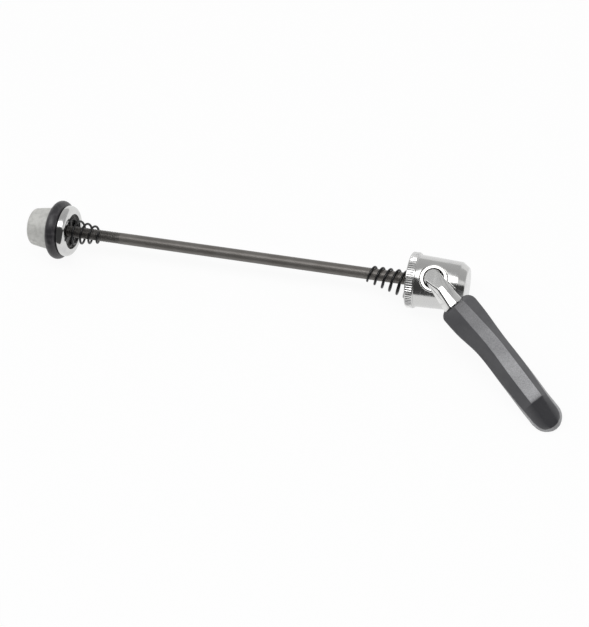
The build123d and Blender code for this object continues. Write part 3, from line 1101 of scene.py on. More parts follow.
@dataclass
class CamHousing:
    """Chromed cam housing: turned body, knurled flange, flat seat and bush around the shaft."""

    pivot: PivotFrame
    length: float = 24.4
    inner_radius: float = 10.93
    outer_radius: float = 10.2
    end_taper: float = 3.1
    end_drop: float = 2.1
    end_rounding: float = 0.9
    flange_radius: float = 11.7
    flange_thickness: float = 3.8
    flange_ease: float = 0.55
    flange_back_ease: float = 0.38
    flange_foot_ease: float = 0.12
    knurl_teeth: int = 76
    knurl_depth: float = 0.17
    knurl_sink: float = 1.1
    recess_radius: float = 9.0
    recess_depth: float = 2.2
    recess_ease: float = 0.15
    bore_radius: float = 5.8
    bore_depth: float = 19.6
    bore_ease: float = 0.2
    bush_seat: float = 9.2
    bush_radius: float = 4.98
    bush_bore_radius: float = 4.18
    bush_flange_radius: float = 5.8
    bush_flange_thickness: float = 1.5
    bush_gap: float = 0.1
    bush_ease: float = 0.1
    bush_rim_ease: float = 0.6
    bush_mouth_ease: float = 0.35
    bush_segments: int = 96
    tail_seat: float = 9.0
    tail_hole_radius: float = 2.28
    tail_flat_radius: float = 4.4
    seat_margin: float = 0.2
    hole_reach: float = 1.0
    hole_overrun: float = 0.3
    hole_segments: int = 96
    hole_ease: float = 0.12
    hole_ease_steps: int = 2
    hole_edge_turn: float = 40.0
    chrome: Chrome = Chrome("housing_chrome", tint=(0.61, 0.61, 0.60), roughness=0.15)
    knurled: Chrome = Chrome("knurl_chrome", tint=(0.85, 0.85, 0.84), roughness=0.2)
    bright: Chrome = Chrome("bush_chrome", tint=(0.80, 0.79, 0.77), roughness=0.08)

    def outline(self) -> list[Point2]:
        """Turned outline of the housing with its recess and blind bore.

        Returns:
            Points of (x, radius).
        """
        root = self.flange_radius - self.knurl_sink * self.knurl_depth
        corners = (
            Corner(0.0, self.recess_radius, self.recess_ease),
            Corner(0.0, root, self.flange_ease),
            Corner(self.flange_thickness, root, self.flange_back_ease),
            Corner(self.flange_thickness, self.inner_radius, self.flange_foot_ease),
            Corner(self.length - self.end_taper, self.outer_radius, self.end_rounding),
            Corner(self.length, self.outer_radius - self.end_drop, self.end_rounding),
            Corner(self.length, 0.0),
            Corner(self.bore_depth, 0.0),
            Corner(self.bore_depth, self.bore_radius, self.bore_ease),
            Corner(self.recess_depth, self.bore_radius, self.recess_ease),
            Corner(self.recess_depth, self.recess_radius, self.recess_ease),
        )
        return eased_outline(corners)

    def holes(self) -> Iterable[Point3]:
        """Radius, lowest and highest place of each hole along the lever's shaft.

        Yields:
            One hole after another.
        """
        outside = self.flange_radius + self.hole_reach
        yield self.bush_flange_radius + self.seat_margin, self.bush_seat, outside
        yield self.bush_radius, -self.bore_radius - self.hole_overrun, outside
        yield self.tail_hole_radius, -outside, 0.0
        yield self.tail_flat_radius, -outside, -self.tail_seat

    def cutter(self, name: str, radius: float, low: float, high: float) -> bpy.types.Object:
        """A round bar along the lever's shaft.

        Args:
            name: The bar's name.
            radius: Its radius.
            low: Its lower end, along the shaft.
            high: Its upper end.

        Returns:
            An object to cut with.
        """
        place = self.pivot.cross() @ Matrix.Translation((0.0, 0.0, (low + high) / 2 * MM))
        sizes = {"radius1": radius * MM, "radius2": radius * MM, "depth": (high - low) * MM}
        mesh = bpy.data.meshes.new(name)
        with editing(mesh) as shape:
            bmesh.ops.create_cone(shape, cap_ends=True, segments=self.hole_segments, matrix=place, **sizes)
        return linked(name, mesh)

    def body_mesh(self) -> Mesh:
        """Turned body with the holes cut along the shaft.

        Returns:
            The housing's mesh, in place.
        """
        holder = linked("housing_blank", turned("housing_blank", self.outline()))
        tools = [self.cutter(f"shaft_cutter_{number}", *hole) for number, hole in enumerate(self.holes())]
        for tool in tools:
            cut = holder.modifiers.new(tool.name, "BOOLEAN")
            cut.operation = "DIFFERENCE"
            cut.solver = "EXACT"
            cut.object = tool
        mesh = baked(holder)
        for tool in tools:
            bpy.data.objects.remove(tool)
        return with_bevel(mesh, self.hole_ease, self.hole_ease_steps, self.hole_edge_turn)

    def bush_mesh(self) -> Mesh:
        """Flanged bush, turned on the rod's axis and then set on the shaft's.

        Returns:
            The bush's mesh, in place.
        """
        start = self.bore_radius + self.bush_gap
        top = self.bush_seat + self.bush_flange_thickness
        corners = (
            Corner(start, self.bush_bore_radius, self.bush_ease),
            Corner(start, self.bush_radius, self.bush_ease),
            Corner(self.bush_seat, self.bush_radius),
            Corner(self.bush_seat, self.bush_flange_radius, self.bush_ease),
            Corner(top, self.bush_flange_radius, self.bush_rim_ease),
            Corner(top, self.bush_bore_radius, self.bush_mouth_ease),
        )
        mesh = turned("pivot_bush_turned", eased_outline(corners), self.bush_segments)
        stand = Matrix.Rotation(-QUARTER_TURN, 4, "Y")
        mesh.transform(self.pivot.cross() @ stand)
        return mesh

    def knurl_mesh(self, finish: Material) -> Mesh:
        """Ridges around the flange, as wide as their pitch.

        Args:
            finish: The ridges' material.

        Returns:
            The ridges' mesh, in place.
        """
        half_pitch = math.pi * self.flange_radius / self.knurl_teeth
        ridge_radius = self.knurl_depth / math.cos(RIDGE_HALF_SIDE)
        sizes = {
            "Tip Radius": self.flange_radius * MM,
            "Ridge Radius": ridge_radius * MM,
            "Ridge Length": (self.flange_thickness - 2 * self.flange_ease) * MM,
            "Ridge Spread": half_pitch / ridge_radius,
            "Middle": self.flange_thickness / 2 * MM,
        }
        return knurl_tree("flange_knurl", finish, self.knurl_teeth, sizes)

    def build(self) -> None:
        """Makes the housing, its knurl and its bush."""
        chrome = self.chrome.material()
        housing = new_piece("housing_shell", self.body_mesh(), Body.HOUSING, chrome)
        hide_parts("cam_housing")
        ridged = self.knurled.material()
        new_piece("flange_knurl", self.knurl_mesh(ridged), Body.HOUSING, ridged)
        bright = self.bright.material()
        bush = new_piece("bush_collar", self.bush_mesh(), Body.HOUSING, bright)
        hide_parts("pivot_bush")


@dataclass
class TailFixing:
    """Washer and clip on the shaft's tail, and the eye inside the housing."""

    washer_ease: float = 0.08
    clip_ease: float = 0.06
    eye_ease: float = 0.12
    ease_steps: int = 2
    steel: PlainSteel = PlainSteel()
    wire: BlackWire = BlackWire("black_clip")

    def build(self) -> None:
        """Makes eased copies of the three solids."""
        steel = self.steel.material()
        black = self.wire.material()
        pieces = (
            ("retaining_washer", Body.HOUSING, Slot.PLAIN, steel, self.washer_ease),
            ("retaining_clip", Body.LEVER, Slot.SPRING, black, self.clip_ease),
            ("rod_eye", Body.ROD, Slot.PLAIN, steel, self.eye_ease),
        )
        for node, body, slot, finish, width in pieces:
            mesh = eased_copy(node, width, self.ease_steps)
            piece = new_piece(f"{node}_eased", mesh, body, finish)
            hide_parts(node)


@dataclass(frozen=True)
class GripSection:
    """One section across the grip: distance from the pivot, width, flat, top and underside."""

    distance: float
    width: float
    shift: float
    flat_width: float
    flat_shift: float
    top: float
    underside: float

    @property
    def middle(self) -> float:
        """Height halfway between the underside and the top."""
        return (self.top + self.underside) / 2

    def values(self) -> tuple[float, ...]:
        """The sizes apart from the distance."""
        return self.width, self.shift, self.flat_width, self.flat_shift, self.top, self.underside


def eased_between(marks: Sequence[float], values: Sequence[float], at: float) -> float:
    """Smooth curve through values at given marks.

    Args:
        marks: Rising places.
        values: The value at each place.
        at: Where to read the curve.

    Returns:
        The value there, from a cubic between the two marks around it.
    """
    last = len(marks) - 1
    index = max(0, min(last - 1, sum(1 for mark in marks if mark <= at) - 1))

    def slope(place: int) -> float:
        """Slope of the curve at a mark."""
        low, high = max(0, place - 1), min(last, place + 1)
        return (values[high] - values[low]) / (marks[high] - marks[low])

    span = marks[index + 1] - marks[index]
    t = (at - marks[index]) / span
    start, end = values[index], values[index + 1]
    lead, tail = slope(index) * span, slope(index + 1) * span
    curve = (2 * t**3 - 3 * t**2 + 1) * start + (t**3 - 2 * t**2 + t) * lead
    return curve + (3 * t**2 - 2 * t**3) * end + (t**3 - t**2) * tail


@dataclass
class CamLever:
    """Lever: chromed forging with a moulded, faceted grip."""

    pivot: PivotFrame
    start: float = 13.6
    nose: float = 64.5
    tip: float = 77.4
    tip_radius: float = 6.35
    tip_shift: float = 1.25
    tip_sharpness: int = 4
    mouth_rounding: float = 4.0
    mouth_slant: float = 2.3
    mouth_reach: float = 9.0
    mouth_lip: float = 0.3
    seam_band: float = 1.2
    skirt_share: float = 0.5
    corner_ease: float = 0.4
    corner_share: float = 0.45
    corner_points: int = 5
    panel_fade: float = 40.0
    panel_share: float = 0.22
    panel_end: float = 1.3
    rim_start: float = 42.0
    rim_width: float = 1.0
    stations: int = 110
    smooth_turn: float = 40.0
    arm_ease: float = 0.45
    arm_flat_area: float = 4.0
    # Painted shade on the lever: shaft faces below this height, in the shadowed gap inside the bush, and
    # faces turned down under the arm.
    painted_shade_height: float = 10.2
    painted_shade_facing: float = -0.6
    chrome: Chrome = Chrome("lever_chrome", tint=(0.78, 0.78, 0.77), roughness=0.16, painted_shade_attribute="oil")
    plastic: GrainedPlastic = GrainedPlastic()

    def sections(self) -> tuple[GripSection, ...]:
        """Sections from the mouth to the start of the nose.

        Returns:
            The sections in order.
        """
        return (
            GripSection(self.start, 15.45, 0.525, 4.3, 1.6, 16.9, 8.3),
            GripSection(24.0, 14.9, 0.85, 4.6, 2.1, 16.8, 7.7),
            GripSection(36.0, 12.6, 1.5, 4.9, 2.8, 15.3, 6.6),
            GripSection(52.0, 12.8, 1.4, 5.2, 2.5, 13.0, 5.0),
            GripSection(self.nose, 12.8, 1.1, 5.1, 2.3, 11.0, 3.8),
        )

    def tip_section(self) -> GripSection:
        """Section that the nose slopes to."""
        return GripSection(self.tip, 13.0, self.tip_shift, 4.0, 1.6, 6.6, 3.4)

    def section_at(self, distance: float) -> GripSection:
        """Section at any distance from the pivot.

        Args:
            distance: The distance.

        Returns:
            The section there.
        """
        known = self.sections()
        if distance > self.nose:
            known = (known[-1], self.tip_section())
        marks = tuple(section.distance for section in known)
        columns = zip(*(section.values() for section in known))
        return GripSection(distance, *(eased_between(marks, column, distance) for column in columns))

    def side_limits(self, distance: float) -> Point2:
        """Lowest and highest sideways place that the rounded ends allow.

        Args:
            distance: The ring's distance from the pivot.

        Returns:
            Both places.
        """
        mouth = self.sections()[0]
        low, high = -math.inf, math.inf
        into_mouth = self.mouth_rounding - (distance - self.start)
        if into_mouth > 0:
            spread = math.sqrt(max(0.0, self.mouth_rounding**2 - into_mouth**2))
            reach = mouth.width / 2 - self.mouth_rounding + spread
            low, high = mouth.shift - reach, mouth.shift + reach
        into_tip = distance - (self.tip - self.tip_radius)
        if into_tip > 0:
            spread = math.sqrt(max(0.0, self.tip_radius**2 - into_tip**2))
            low, high = self.tip_shift - spread, self.tip_shift + spread
        return low, high

    def rim_inset(self, distance: float) -> float:
        """How far the upper outline stands back from the rim at one distance."""
        share = min(1.0, max(0.0, (distance - self.rim_start) / (self.tip - self.rim_start)))
        return self.rim_width * share * share * (3.0 - 2.0 * share)

    def lean(self, distance: float, height: float) -> float:
        """How far the leaning mouth moves a point of the skin along the lever.

        Args:
            distance: The ring's distance from the pivot.
            height: The point's height along the shaft.

        Returns:
            The move in millimetres, less and less away from the mouth.
        """
        mouth = self.sections()[0]
        share = max(0.0, 1.0 - (distance - self.start) / self.mouth_reach)
        return share * self.mouth_slant * max(0.0, height - mouth.middle) / (mouth.top - mouth.middle)

    def section_corners(self, distance: float) -> dict[GripCorner, Vector]:
        """Sideways place and height of each corner at one distance.

        Args:
            distance: The ring's distance from the pivot.

        Returns:
            The corners in their order around the section.
        """
        cut = self.section_at(distance)
        low, high = self.side_limits(distance)
        inset = self.rim_inset(distance)
        shoulder = cut.middle + self.seam_band / 2
        hem = cut.middle - self.seam_band / 2
        skirt = hem - self.skirt_share * (hem - cut.underside)
        right, left = min(high, cut.shift + cut.width / 2), max(low, cut.shift - cut.width / 2)
        upper_right = max(right - inset, (left + right) / 2)
        upper_left = min(left + inset, (left + right) / 2)
        flat_right = cut.flat_shift + cut.flat_width / 2
        flat_left = cut.flat_shift - cut.flat_width / 2
        return {
            GripCorner.FLAT_LEFT: Vector((max(flat_left, upper_left), cut.top)),
            GripCorner.FLAT_RIGHT: Vector((min(flat_right, upper_right), cut.top)),
            GripCorner.SHOULDER_RIGHT: Vector((upper_right, shoulder)),
            GripCorner.SKIRT_RIGHT: Vector((right, skirt)),
            GripCorner.UNDER_RIGHT: Vector((min(flat_right, right), cut.underside)),
            GripCorner.UNDER_LEFT: Vector((max(flat_left, left), cut.underside)),
            GripCorner.SKIRT_LEFT: Vector((left, skirt)),
            GripCorner.SHOULDER_LEFT: Vector((upper_left, shoulder)),
        }

    def ring(self, distance: float) -> list[Vector]:
        """Points around the grip at one distance, some on each eased corner.

        Args:
            distance: The ring's distance from the pivot.

        Returns:
            Points of (along, sideways, height).
        """
        corners = self.section_corners(distance)
        shoulder = corners[GripCorner.SHOULDER_RIGHT].y
        skirt = corners[GripCorner.SKIRT_RIGHT].y
        into_tip = max(0.0, (distance - self.tip + self.tip_radius) / self.tip_radius)
        setback = self.rim_inset(distance) * into_tip**self.tip_sharpness
        points = []
        for name, corner in corners.items():
            back = corners[GripCorner((name - 1) % len(corners))] - corner
            ahead = corners[GripCorner((name + 1) % len(corners))] - corner
            reach = min(self.corner_ease, self.corner_share * back.length, self.corner_share * ahead.length)
            first = corner + back.normalized() * reach if back.length else corner
            last = corner + ahead.normalized() * reach if ahead.length else corner
            for step in range(self.corner_points):
                t = step / (self.corner_points - 1)
                spot = first * (1 - t) ** 2 + corner * 2 * t * (1 - t) + last * t**2
                climb = min(1.0, max(0.0, (spot.y - skirt) / (shoulder - skirt)))
                along = distance + self.lean(distance, spot.y) - setback * climb
                points.append(Vector((along, spot.x, spot.y)))
        return points

    def grip_distances(self) -> list[float]:
        """Distances of the rings, closer together at both ends.

        Returns:
            The distances, rising.
        """
        span = self.tip - self.start
        turns = [math.pi * number / self.stations for number in range(self.stations + 1)]
        middle = [self.start + span * (1 - math.cos(turn)) / 2 for turn in turns]
        return sorted({*middle, self.nose})

    def follows(self, index: int, corner: GripCorner) -> bool:
        """Whether a point of a ring lies between the middle of a corner and that of the next one."""
        middle = self.corner_points * corner + self.corner_points // 2
        return middle <= index <= middle + self.corner_points

    def marks(self, distance: float, index: int) -> Point3:
        """How much a point of the skin is panel (scuffed, with a painted highlight), nose (painted shade)
        and glossy rim (painted reflection).

        Args:
            distance: The ring's distance from the pivot.
            index: The point's place around the ring.

        Returns:
            Three shares from 0 to 1.
        """
        before_nose = distance < self.nose
        on_flat = self.follows(index, GripCorner.FLAT_LEFT) or self.follows(index, GripCorner.UNDER_RIGHT)
        on_rim = self.follows(index, GripCorner.SHOULDER_RIGHT) or self.follows(index, GripCorner.SKIRT_LEFT)
        on_top = index < self.corner_points * GripCorner.SHOULDER_RIGHT
        # The panel's scuff and painted highlight grow from the mouth towards the nose.
        worn = min(1.0, (distance - self.start) / self.panel_fade)
        scuffed_and_lit = self.panel_share + (1.0 - self.panel_share) * worn
        ending = min(1.0, (self.nose - distance) / self.panel_end)
        panel = scuffed_and_lit * ending if on_flat and before_nose else 0.0
        nose = 1.0 if on_top and not before_nose else 0.0
        rim = self.rim_inset(distance) / self.rim_width if on_rim else 0.0
        return panel, nose, rim

    def grip_mesh(self) -> Mesh:
        """Skin over the rings, closed at the mouth and the tip.

        Returns:
            The skin's mesh, in place.
        """
        place = self.pivot.lever() @ Matrix.Scale(MM, 4)
        distances = [self.start, *self.grip_distances()]
        outlines = [self.ring(distance) for distance in distances]
        mouth = self.sections()[0]
        centre = Vector((self.start, mouth.shift, mouth.middle))
        outlines[0] = [point + (centre - point).normalized() * self.mouth_lip for point in outlines[1]]
        outlines[1] = [point + Vector((self.mouth_lip / 2, 0.0, 0.0)) for point in outlines[1]]
        names = (self.plastic.panel_attribute, self.plastic.nose_attribute, self.plastic.rim_attribute)
        mesh = bpy.data.meshes.new("lever_grip_skin")
        with editing(mesh) as shape:
            for name in names:
                shape.verts.layers.float.new(name)
            rings = [[shape.verts.new(place @ point) for point in outline] for outline in outlines]
            layers = [shape.verts.layers.float.get(name) for name in names]
            for distance, ring in zip(distances, rings):
                for index, vertex in enumerate(ring):
                    for layer, share in zip(layers, self.marks(distance, index)):
                        vertex[layer] = share
            skinned(shape, rings)
            middle = shape.verts.new(place @ centre)
            for index, vertex in enumerate(rings[0]):
                shape.faces.new((middle, rings[0][(index + 1) % len(rings[0])], vertex))
            bmesh.ops.remove_doubles(shape, verts=shape.verts, dist=GRIP_MERGE * MM)
            flaps = [face for face in shape.faces if {1, 3} <= {len(edge.link_faces) for edge in face.edges}]
            bmesh.ops.delete(shape, geom=flaps, context="FACES")
            bmesh.ops.recalc_face_normals(shape, faces=shape.faces)
        smooth_by_angle(mesh, self.smooth_turn)
        return firmed(mesh)

    def forging_mesh(self) -> Mesh:
        """Eased copy of the lever, with its underside and the shaft inside the bush marked for painted
        shade.

        Returns:
            The forging's mesh, in place.
        """
        mesh = eased_copy("lever", self.arm_ease, flat_mm2=self.arm_flat_area)
        home = self.pivot.lever().inverted()
        # Marks the shaft inside the bush and the downward faces for painted shade.
        marks = mesh.attributes.new(self.chrome.painted_shade_attribute, "FLOAT", "FACE")
        for face, mark in zip(mesh.polygons, marks.data):
            facing_down = (home.to_3x3() @ face.normal).z < self.painted_shade_facing
            mark.value = 1.0 if facing_down or (home @ face.center).z < self.painted_shade_height * MM else 0.0
        return mesh

    def build(self) -> None:
        """Makes the forging and the grip."""
        chrome = self.chrome.material()
        forging = new_piece("lever_forging", self.forging_mesh(), Body.LEVER, chrome)
        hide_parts("lever")
        plastic = self.plastic.material()
        grip = new_piece("lever_grip_skin", self.grip_mesh(), Body.LEVER, plastic)
        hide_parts("lever_grip")


@dataclass
class SkewerRod:
    """Long dark rod with its rolled thread."""

    radius: float = 2.5
    thread_depth: float = 0.42
    thread_end: float = -129.0
    thread_inset: float = 0.3
    pitch: float = 0.8
    run_out_turns: float = 3.0
    core_margin: float = 0.02
    end_ease: float = 0.4
    eye_end_ease: float = 0.2
    segments: int = 64
    steel: DarkRodSteel = DarkRodSteel()
    oiled: DarkRodSteel = DarkRodSteel(
        "oiled_thread", main=(0.095, 0.09, 0.085), patch=(0.13, 0.124, 0.118), roughness=0.3
    )

    def shank_outline(self, start: float, end: float) -> list[Point2]:
        """Turned outline of the rod, thinner inside the thread.

        Args:
            start: Place of the end in the nut.
            end: Place of the end in the eye.

        Returns:
            Points of (x, radius).
        """
        core = self.radius - self.thread_depth - self.core_margin
        corners = (
            Corner(start, 0.0),
            Corner(start, core, self.end_ease),
            Corner(self.thread_end - self.run_out_turns * self.pitch, core),
            Corner(self.thread_end, self.radius),
            Corner(end, self.radius, self.eye_end_ease),
            Corner(end, 0.0),
        )
        return eased_outline(corners)

    def build(self) -> None:
        """Makes the shank and the thread."""
        steel = self.steel.material()
        low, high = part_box("skewer_rod")
        start, end = low.x / MM, high.x / MM
        shank = turned("rod_shank", self.shank_outline(start, end), self.segments)
        rod = new_piece("rod_shank", shank, Body.ROD, steel)
        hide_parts("skewer_rod")
        sizes = {
            "Start": (start + self.thread_inset) * MM,
            "Length": (self.thread_end - start - self.thread_inset) * MM,
            "Radius": self.radius * MM,
            "Pitch": self.pitch * MM,
            "Depth": self.thread_depth * MM,
            "Run Out": self.run_out_turns * self.pitch * MM,
        }
        oiled = self.oiled.material()
        new_piece("rod_thread", thread_tree("rod_thread", oiled, sizes), Body.ROD, oiled)


@dataclass
class ConicalSprings:
    """The two conical springs on the rod."""

    wire: float = 1.0
    wire_sides: int = 14
    turn_steps: int = 56
    narrow_radius: float = 3.15
    wide_radius: float = 5.7
    seat_reach: float = 0.8
    lever_length: float = 18.6
    lever_turns: float = 5.5
    lever_drop: float = 2.5
    lever_drop_angle: float = 25.0
    housing_recess: float = 2.2
    nut_length: float = 14.6
    nut_turns: float = 4.0
    nut_face: float = -152.0
    insert_recess: float = 2.2
    finish: BlackWire = BlackWire()

    def coil(self, name: str, length: float, turns: float, finish: Material) -> Mesh:
        """A spring on Z, narrow end at the origin.

        Args:
            name: The spring's name.
            length: Its length.
            turns: Its number of turns.
            finish: Its material.

        Returns:
            The spring's mesh.
        """
        sizes = {
            "Turns": turns,
            "Steps": self.turn_steps,
            "Sides": self.wire_sides,
            "Narrow Radius": self.narrow_radius * MM,
            "Wide Radius": self.wide_radius * MM,
            "Length": length * MM,
            "Wire": self.wire * MM,
        }
        return spring_tree(name, finish, sizes)

    def lever_place(self) -> Matrix:
        """Where the lever's spring hangs on the rod, in metres.

        Returns:
            The place as a matrix.
        """
        tilt = math.atan2(self.lever_drop, self.lever_length)
        narrow = self.housing_recess - self.seat_reach - self.lever_length
        hang = Matrix.Rotation(math.radians(self.lever_drop_angle) - QUARTER_TURN, 4, "X")
        return Matrix.Translation((narrow * MM, 0, 0)) @ hang @ Matrix.Rotation(QUARTER_TURN + tilt, 4, "Y")

    def nut_place(self) -> Matrix:
        """Where the nut's spring stands, in metres."""
        narrow = self.nut_face - self.insert_recess + self.seat_reach + self.nut_length
        return Matrix.Translation((narrow * MM, 0, 0)) @ Matrix.Rotation(-QUARTER_TURN, 4, "Y")

    def build(self) -> None:
        """Makes both springs."""
        finish = self.finish.material()
        pieces = (
            ("lever_spring", self.lever_length, self.lever_turns, self.lever_place(), Body.LEVER_SPRING),
            ("nut_spring", self.nut_length, self.nut_turns, self.nut_place(), Body.NUT_SPRING),
        )
        for node, length, turns, place, body in pieces:
            mesh = self.coil(f"{node}_wire", length, turns, finish)
            mesh.transform(place)
            piece = new_piece(f"{node}_wire", mesh, body, finish)
            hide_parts(node)


@dataclass
class ClampNut:
    """Nut: tapered aluminium body, rubber ring, chromed insert and nylon ring."""

    face: float = -152.0
    insert_radius: float = 11.25
    insert_thickness: float = 3.6
    insert_rounding: float = 2.2
    insert_back_rounding: float = 0.8
    recess_radius: float = 7.75
    recess_depth: float = 2.2
    recess_mouth_ease: float = 0.25
    recess_floor_ease: float = 0.3
    spigot_radius: float = 5.5
    spigot_length: float = 6.4
    thread_radius: float = 2.56
    thread_ease: float = 0.2
    ring_radius: float = 13.0
    ring_section: float = 2.45
    ring_gap: float = 0.08
    ring_steps: int = 48
    groove_steps: int = 16
    groove_ease: float = 0.3
    hub_radius: float = 9.6
    end_radius: float = 8.0
    cone_length: float = 10.6
    end_rounding: float = 1.9
    end_hole_radius: float = 2.9
    end_hole_ease: float = 0.3
    lock_pocket: float = 3.0
    arc_steps: int = 10
    aluminium: TumbledAluminium = TumbledAluminium()
    rubber: BlackRubber = BlackRubber()
    # Painted shade: the insert is darkened within 7.7 mm of the rod's axis, inside its recess.
    chrome: Chrome = Chrome("insert_chrome", tint=(0.65, 0.65, 0.64), painted_shade_within=7.7, roughness=0.1)
    nylon: NaturalNylon = NaturalNylon()

    @property
    def insert_back(self) -> float:
        """Back of the insert's flange."""
        return self.face - self.insert_thickness

    @property
    def spigot_end(self) -> float:
        """End of the insert's spigot."""
        return self.insert_back - self.spigot_length

    @property
    def ring_middle(self) -> float:
        """Middle of the rubber ring."""
        return self.insert_back - self.ring_section - self.ring_gap

    @property
    def ring_mean(self) -> float:
        """Radius at which the middle of the rubber ring's section lies."""
        return self.ring_radius - self.ring_section

    def insert_outline(self) -> list[Point2]:
        """Turned outline of the insert.

        Returns:
            Points of (x, radius).
        """
        floor = self.face - self.recess_depth
        corners = (
            Corner(self.face, self.recess_radius, self.recess_mouth_ease),
            Corner(self.face, self.insert_radius, self.insert_rounding),
            Corner(self.insert_back, self.insert_radius, self.insert_back_rounding),
            Corner(self.insert_back, self.spigot_radius),
            Corner(self.spigot_end, self.spigot_radius),
            Corner(self.spigot_end, self.thread_radius),
            Corner(floor, self.thread_radius, self.thread_ease),
            Corner(floor, self.recess_radius, self.recess_floor_ease),
        )
        return eased_outline(corners, self.arc_steps)

    def around_ring(self, reach: float, angles: Iterable[float]) -> list[Point2]:
        """Points at a reach from the middle of the rubber ring's section.

        Args:
            reach: Their distance from it.
            angles: Where they lie around it.

        Returns:
            Points of (x, radius).
        """
        middle, mean = self.ring_middle, self.ring_mean
        return [(middle + reach * math.cos(angle), mean + reach * math.sin(angle)) for angle in angles]

    def ring_outline(self) -> list[Point2]:
        """Round section of the rubber ring."""
        angles = [FULL_TURN * step / self.ring_steps for step in range(self.ring_steps)]
        return self.around_ring(self.ring_section, angles)

    def body_outline(self) -> list[Point2]:
        """Turned outline of the nut's body with the ring's round groove.

        Returns:
            Points of (x, radius).
        """
        shoulder = self.ring_middle - self.ring_section
        end = shoulder - self.cone_length
        pocket = self.spigot_end - self.lock_pocket
        groove = self.ring_section + self.ring_gap
        depth = self.hub_radius - self.ring_mean
        reach = math.sqrt(groove**2 - depth**2)
        low, high = math.atan2(depth, -reach), math.atan2(depth, reach)
        steps = self.groove_steps
        angles = [high + (low - high) * step / steps for step in range(steps + 1)]
        front = [(self.insert_back, self.spigot_radius), (self.insert_back, self.hub_radius)]
        back = (
            Corner(self.ring_middle - reach, self.hub_radius),
            Corner(shoulder, self.hub_radius, self.groove_ease),
            Corner(end, self.end_radius, self.end_rounding),
            Corner(end, self.end_hole_radius, self.end_hole_ease),
            Corner(pocket, self.end_hole_radius),
            Corner(pocket, self.spigot_radius),
        )
        return front + self.around_ring(groove, angles) + eased_outline(back, self.arc_steps)[1:]

    def build(self) -> None:
        """Makes the three turned pieces, and dresses the nylon ring as it is."""
        pieces = (
            ("nut_insert", self.insert_outline(), Slot.INSERT, self.chrome.material()),
            ("grip_ring", self.ring_outline(), Slot.RING, self.rubber.material()),
            ("nut_body", self.body_outline(), Slot.NUT, self.aluminium.material()),
        )
        for node, outline, slot, finish in pieces:
            name = f"{node}_turned"
            piece = new_piece(name, turned(name, outline), Body.NUT, finish)
            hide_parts(node)
        lock = bpy.data.objects["lock_ring"]
        lock.data.materials.clear()
        lock.data.materials.append(self.nylon.material())


@dataclass(frozen=True)
class Softbox:
    """A soft lamp: where it hangs, its width and height, its watts, and whether bright surfaces show it."""

    name: str
    place: Point3
    size: Point2
    watts: float
    mirrored: bool = True


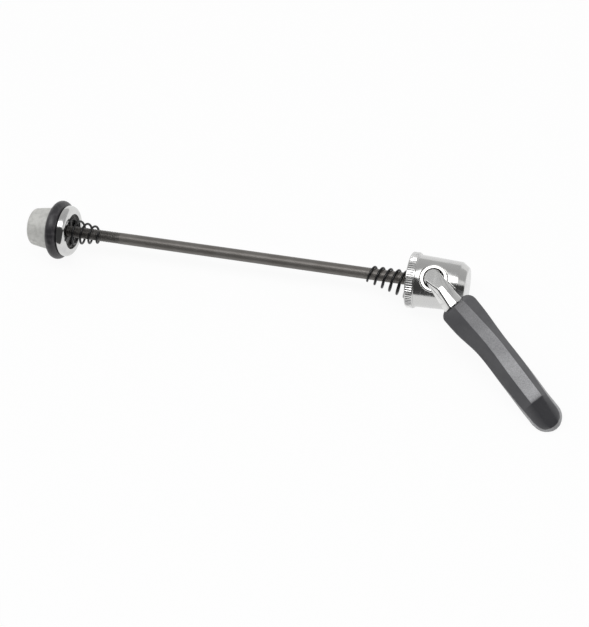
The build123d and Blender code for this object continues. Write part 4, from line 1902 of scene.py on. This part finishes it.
@dataclass
class Studio:
    """Pale floor, soft light and the camera."""

    camera_place: Point3 = (99.31, -252.93, 517.09)
    camera_turn: Point3 = (26.157, 9.293, 13.787)
    camera_near: float = 10.0
    focal_pixels: float = 1400.0
    frame_width: float = 589.0
    sensor: float = 36.0
    floor_metres: float = 6.0
    floor_drop: float = 0.02
    floor_colour: Colour = (0.93, 0.93, 0.93)
    floor_roughness: float = 0.9
    white_share: float = 0.93
    lamp_target: Point3 = (-50.0, 0.0, 0.0)
    overhead: Softbox = Softbox("overhead_softbox", (-50.0, 0.0, 900.0), (1400.0, 330.0), 4.0)
    fill: Softbox = Softbox("front_fill", (-80.0, -700.0, 300.0), (900.0, 500.0), 1.2, mirrored=False)

    def floor(self) -> None:
        """Plane through the three points that the skewer lies on."""
        feet = []
        for node in ("grip_ring", "cam_housing", "lever_grip"):
            mesh = bpy.data.objects[node].data
            feet.append(min((vertex.co.copy() for vertex in mesh.vertices), key=lambda spot: spot.z))
        across = (feet[1] - feet[0]).cross(feet[2] - feet[0]).normalized()
        if across.z < 0:
            across = -across
        middle = sum(feet, Vector()) / 3 - across * self.floor_drop * MM
        turn = Vector((0.0, 0.0, 1.0)).rotation_difference(across).to_matrix().to_4x4()
        mesh = bpy.data.meshes.new("studio_floor")
        with editing(mesh) as shape:
            place = Matrix.Translation(middle) @ turn
            bmesh.ops.create_grid(shape, size=self.floor_metres / 2, matrix=place)
        mesh.materials.append(self.floor_material())
        plane = linked("studio_floor", mesh)

    def floor_material(self) -> Material:
        """Matte floor that the camera and reflections see as nearly white, with the shadow kept.

        Returns:
            The material.
        """
        surface = Surface("studio_floor")
        surface.finish(Base_Color=(*self.floor_colour, 1.0), Roughness=self.floor_roughness)
        seen = surface.add("ShaderNodeLightPath", output="Is Camera Ray")
        for ray in ("Is Glossy Ray", "Is Transmission Ray"):
            seen = seen.most(surface.add("ShaderNodeLightPath", output=ray))
        white = surface.add("ShaderNodeEmission", None, {"Color": WHITE, "Strength": 1.0})
        lit = Flow(surface, surface.shader.outputs[0])
        mixed = surface.add("ShaderNodeMixShader", None, {0: seen * self.white_share, 1: lit, 2: white})
        surface.feed(surface.output.inputs["Surface"], mixed)
        return surface.material

    def room(self) -> list[tuple[float, Colour]]:
        """Stops of the room's grey, from the front's horizon at 0 over the top to the back's at 1."""
        greys = ((0.0, 0.07), (0.41, 0.05), (0.44, 1.0), (0.585, 1.0), (0.61, 0.50), (1.0, 0.60))
        return [(place, (grey, grey, grey)) for place, grey in greys]

    def world(self) -> None:
        """White to the camera; to the object, a room that is dark in front, white above and grey behind."""
        world = bpy.data.worlds.new("studio")
        world.use_nodes = True
        bpy.context.scene.world = world
        tree = Tree(world.node_tree)
        world.node_tree.nodes.clear()
        place = tree.add("ShaderNodeTexCoord", output="Generated")
        depth = tree.add("ShaderNodeSeparateXYZ", None, {"Vector": place}, output="Y")
        height = tree.add("ShaderNodeSeparateXYZ", None, {"Vector": place}, output="Z")
        climb = tree.add("ShaderNodeMath", {"operation": "ARCTAN2"}, {0: height, 1: depth * -1.0}) / math.pi
        room = tree.add("ShaderNodeValToRGB", {"stops": self.room()}, {"Fac": climb})
        light = tree.add("ShaderNodeBackground", None, {"Color": room, "Strength": 1.0})
        white = tree.add("ShaderNodeBackground", None, {"Color": WHITE, "Strength": 1.0})
        seen = tree.add("ShaderNodeLightPath", output="Is Camera Ray")
        mixed = tree.add("ShaderNodeMixShader", None, {0: seen, 1: light, 2: white})
        tree.add("ShaderNodeOutputWorld", None, {"Surface": mixed})

    def hang(self, box: Softbox) -> None:
        """Hangs a soft lamp that looks at the middle of the rod.

        Args:
            box: The lamp.
        """
        lamp = bpy.data.lights.new(box.name, "AREA")
        lamp.shape = "RECTANGLE"
        lamp.size, lamp.size_y = (side * MM for side in box.size)
        lamp.energy = box.watts
        holder = linked(box.name, lamp)
        holder.visible_glossy = box.mirrored
        holder.location = Vector(box.place) * MM
        aim = Vector(self.lamp_target) * MM - holder.location
        holder.rotation_euler = aim.to_track_quat("-Z", "Y").to_euler()

    def camera(self) -> None:
        """The photograph's camera."""
        lens = bpy.data.cameras.new("photo_camera")
        lens.sensor_fit = "HORIZONTAL"
        lens.sensor_width = self.sensor
        lens.lens = self.focal_pixels * self.sensor / self.frame_width
        lens.clip_start = self.camera_near * MM
        holder = linked("photo_camera", lens)
        holder.location = Vector(self.camera_place) * MM
        holder.rotation_euler = [math.radians(angle) for angle in self.camera_turn]
        bpy.context.scene.camera = holder

    def build(self) -> None:
        """Sets the whole studio."""
        self.floor()
        self.world()
        self.hang(self.overhead)
        self.hang(self.fill)
        self.camera()
        bpy.context.scene.view_settings.view_transform = "Standard"


def write_sizes() -> None:
    """Updates the view layer.
    """
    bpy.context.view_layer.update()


def main() -> None:
    """Builds every sub-assembly, then the studio."""
    logging.basicConfig(level=logging.INFO, format="%(name)s: %(message)s")
    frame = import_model()
    pivot = PivotFrame(frame["joints"])
    assemblies = (
        CamHousing(pivot),
        TailFixing(),
        CamLever(pivot),
        SkewerRod(),
        ConicalSprings(),
        ClampNut(),
        Studio(),
    )
    for assembly in assemblies:
        assembly.build()
        LOG.info("built %s", type(assembly).__name__)
    write_sizes()


if __name__ == "__main__":
    main()
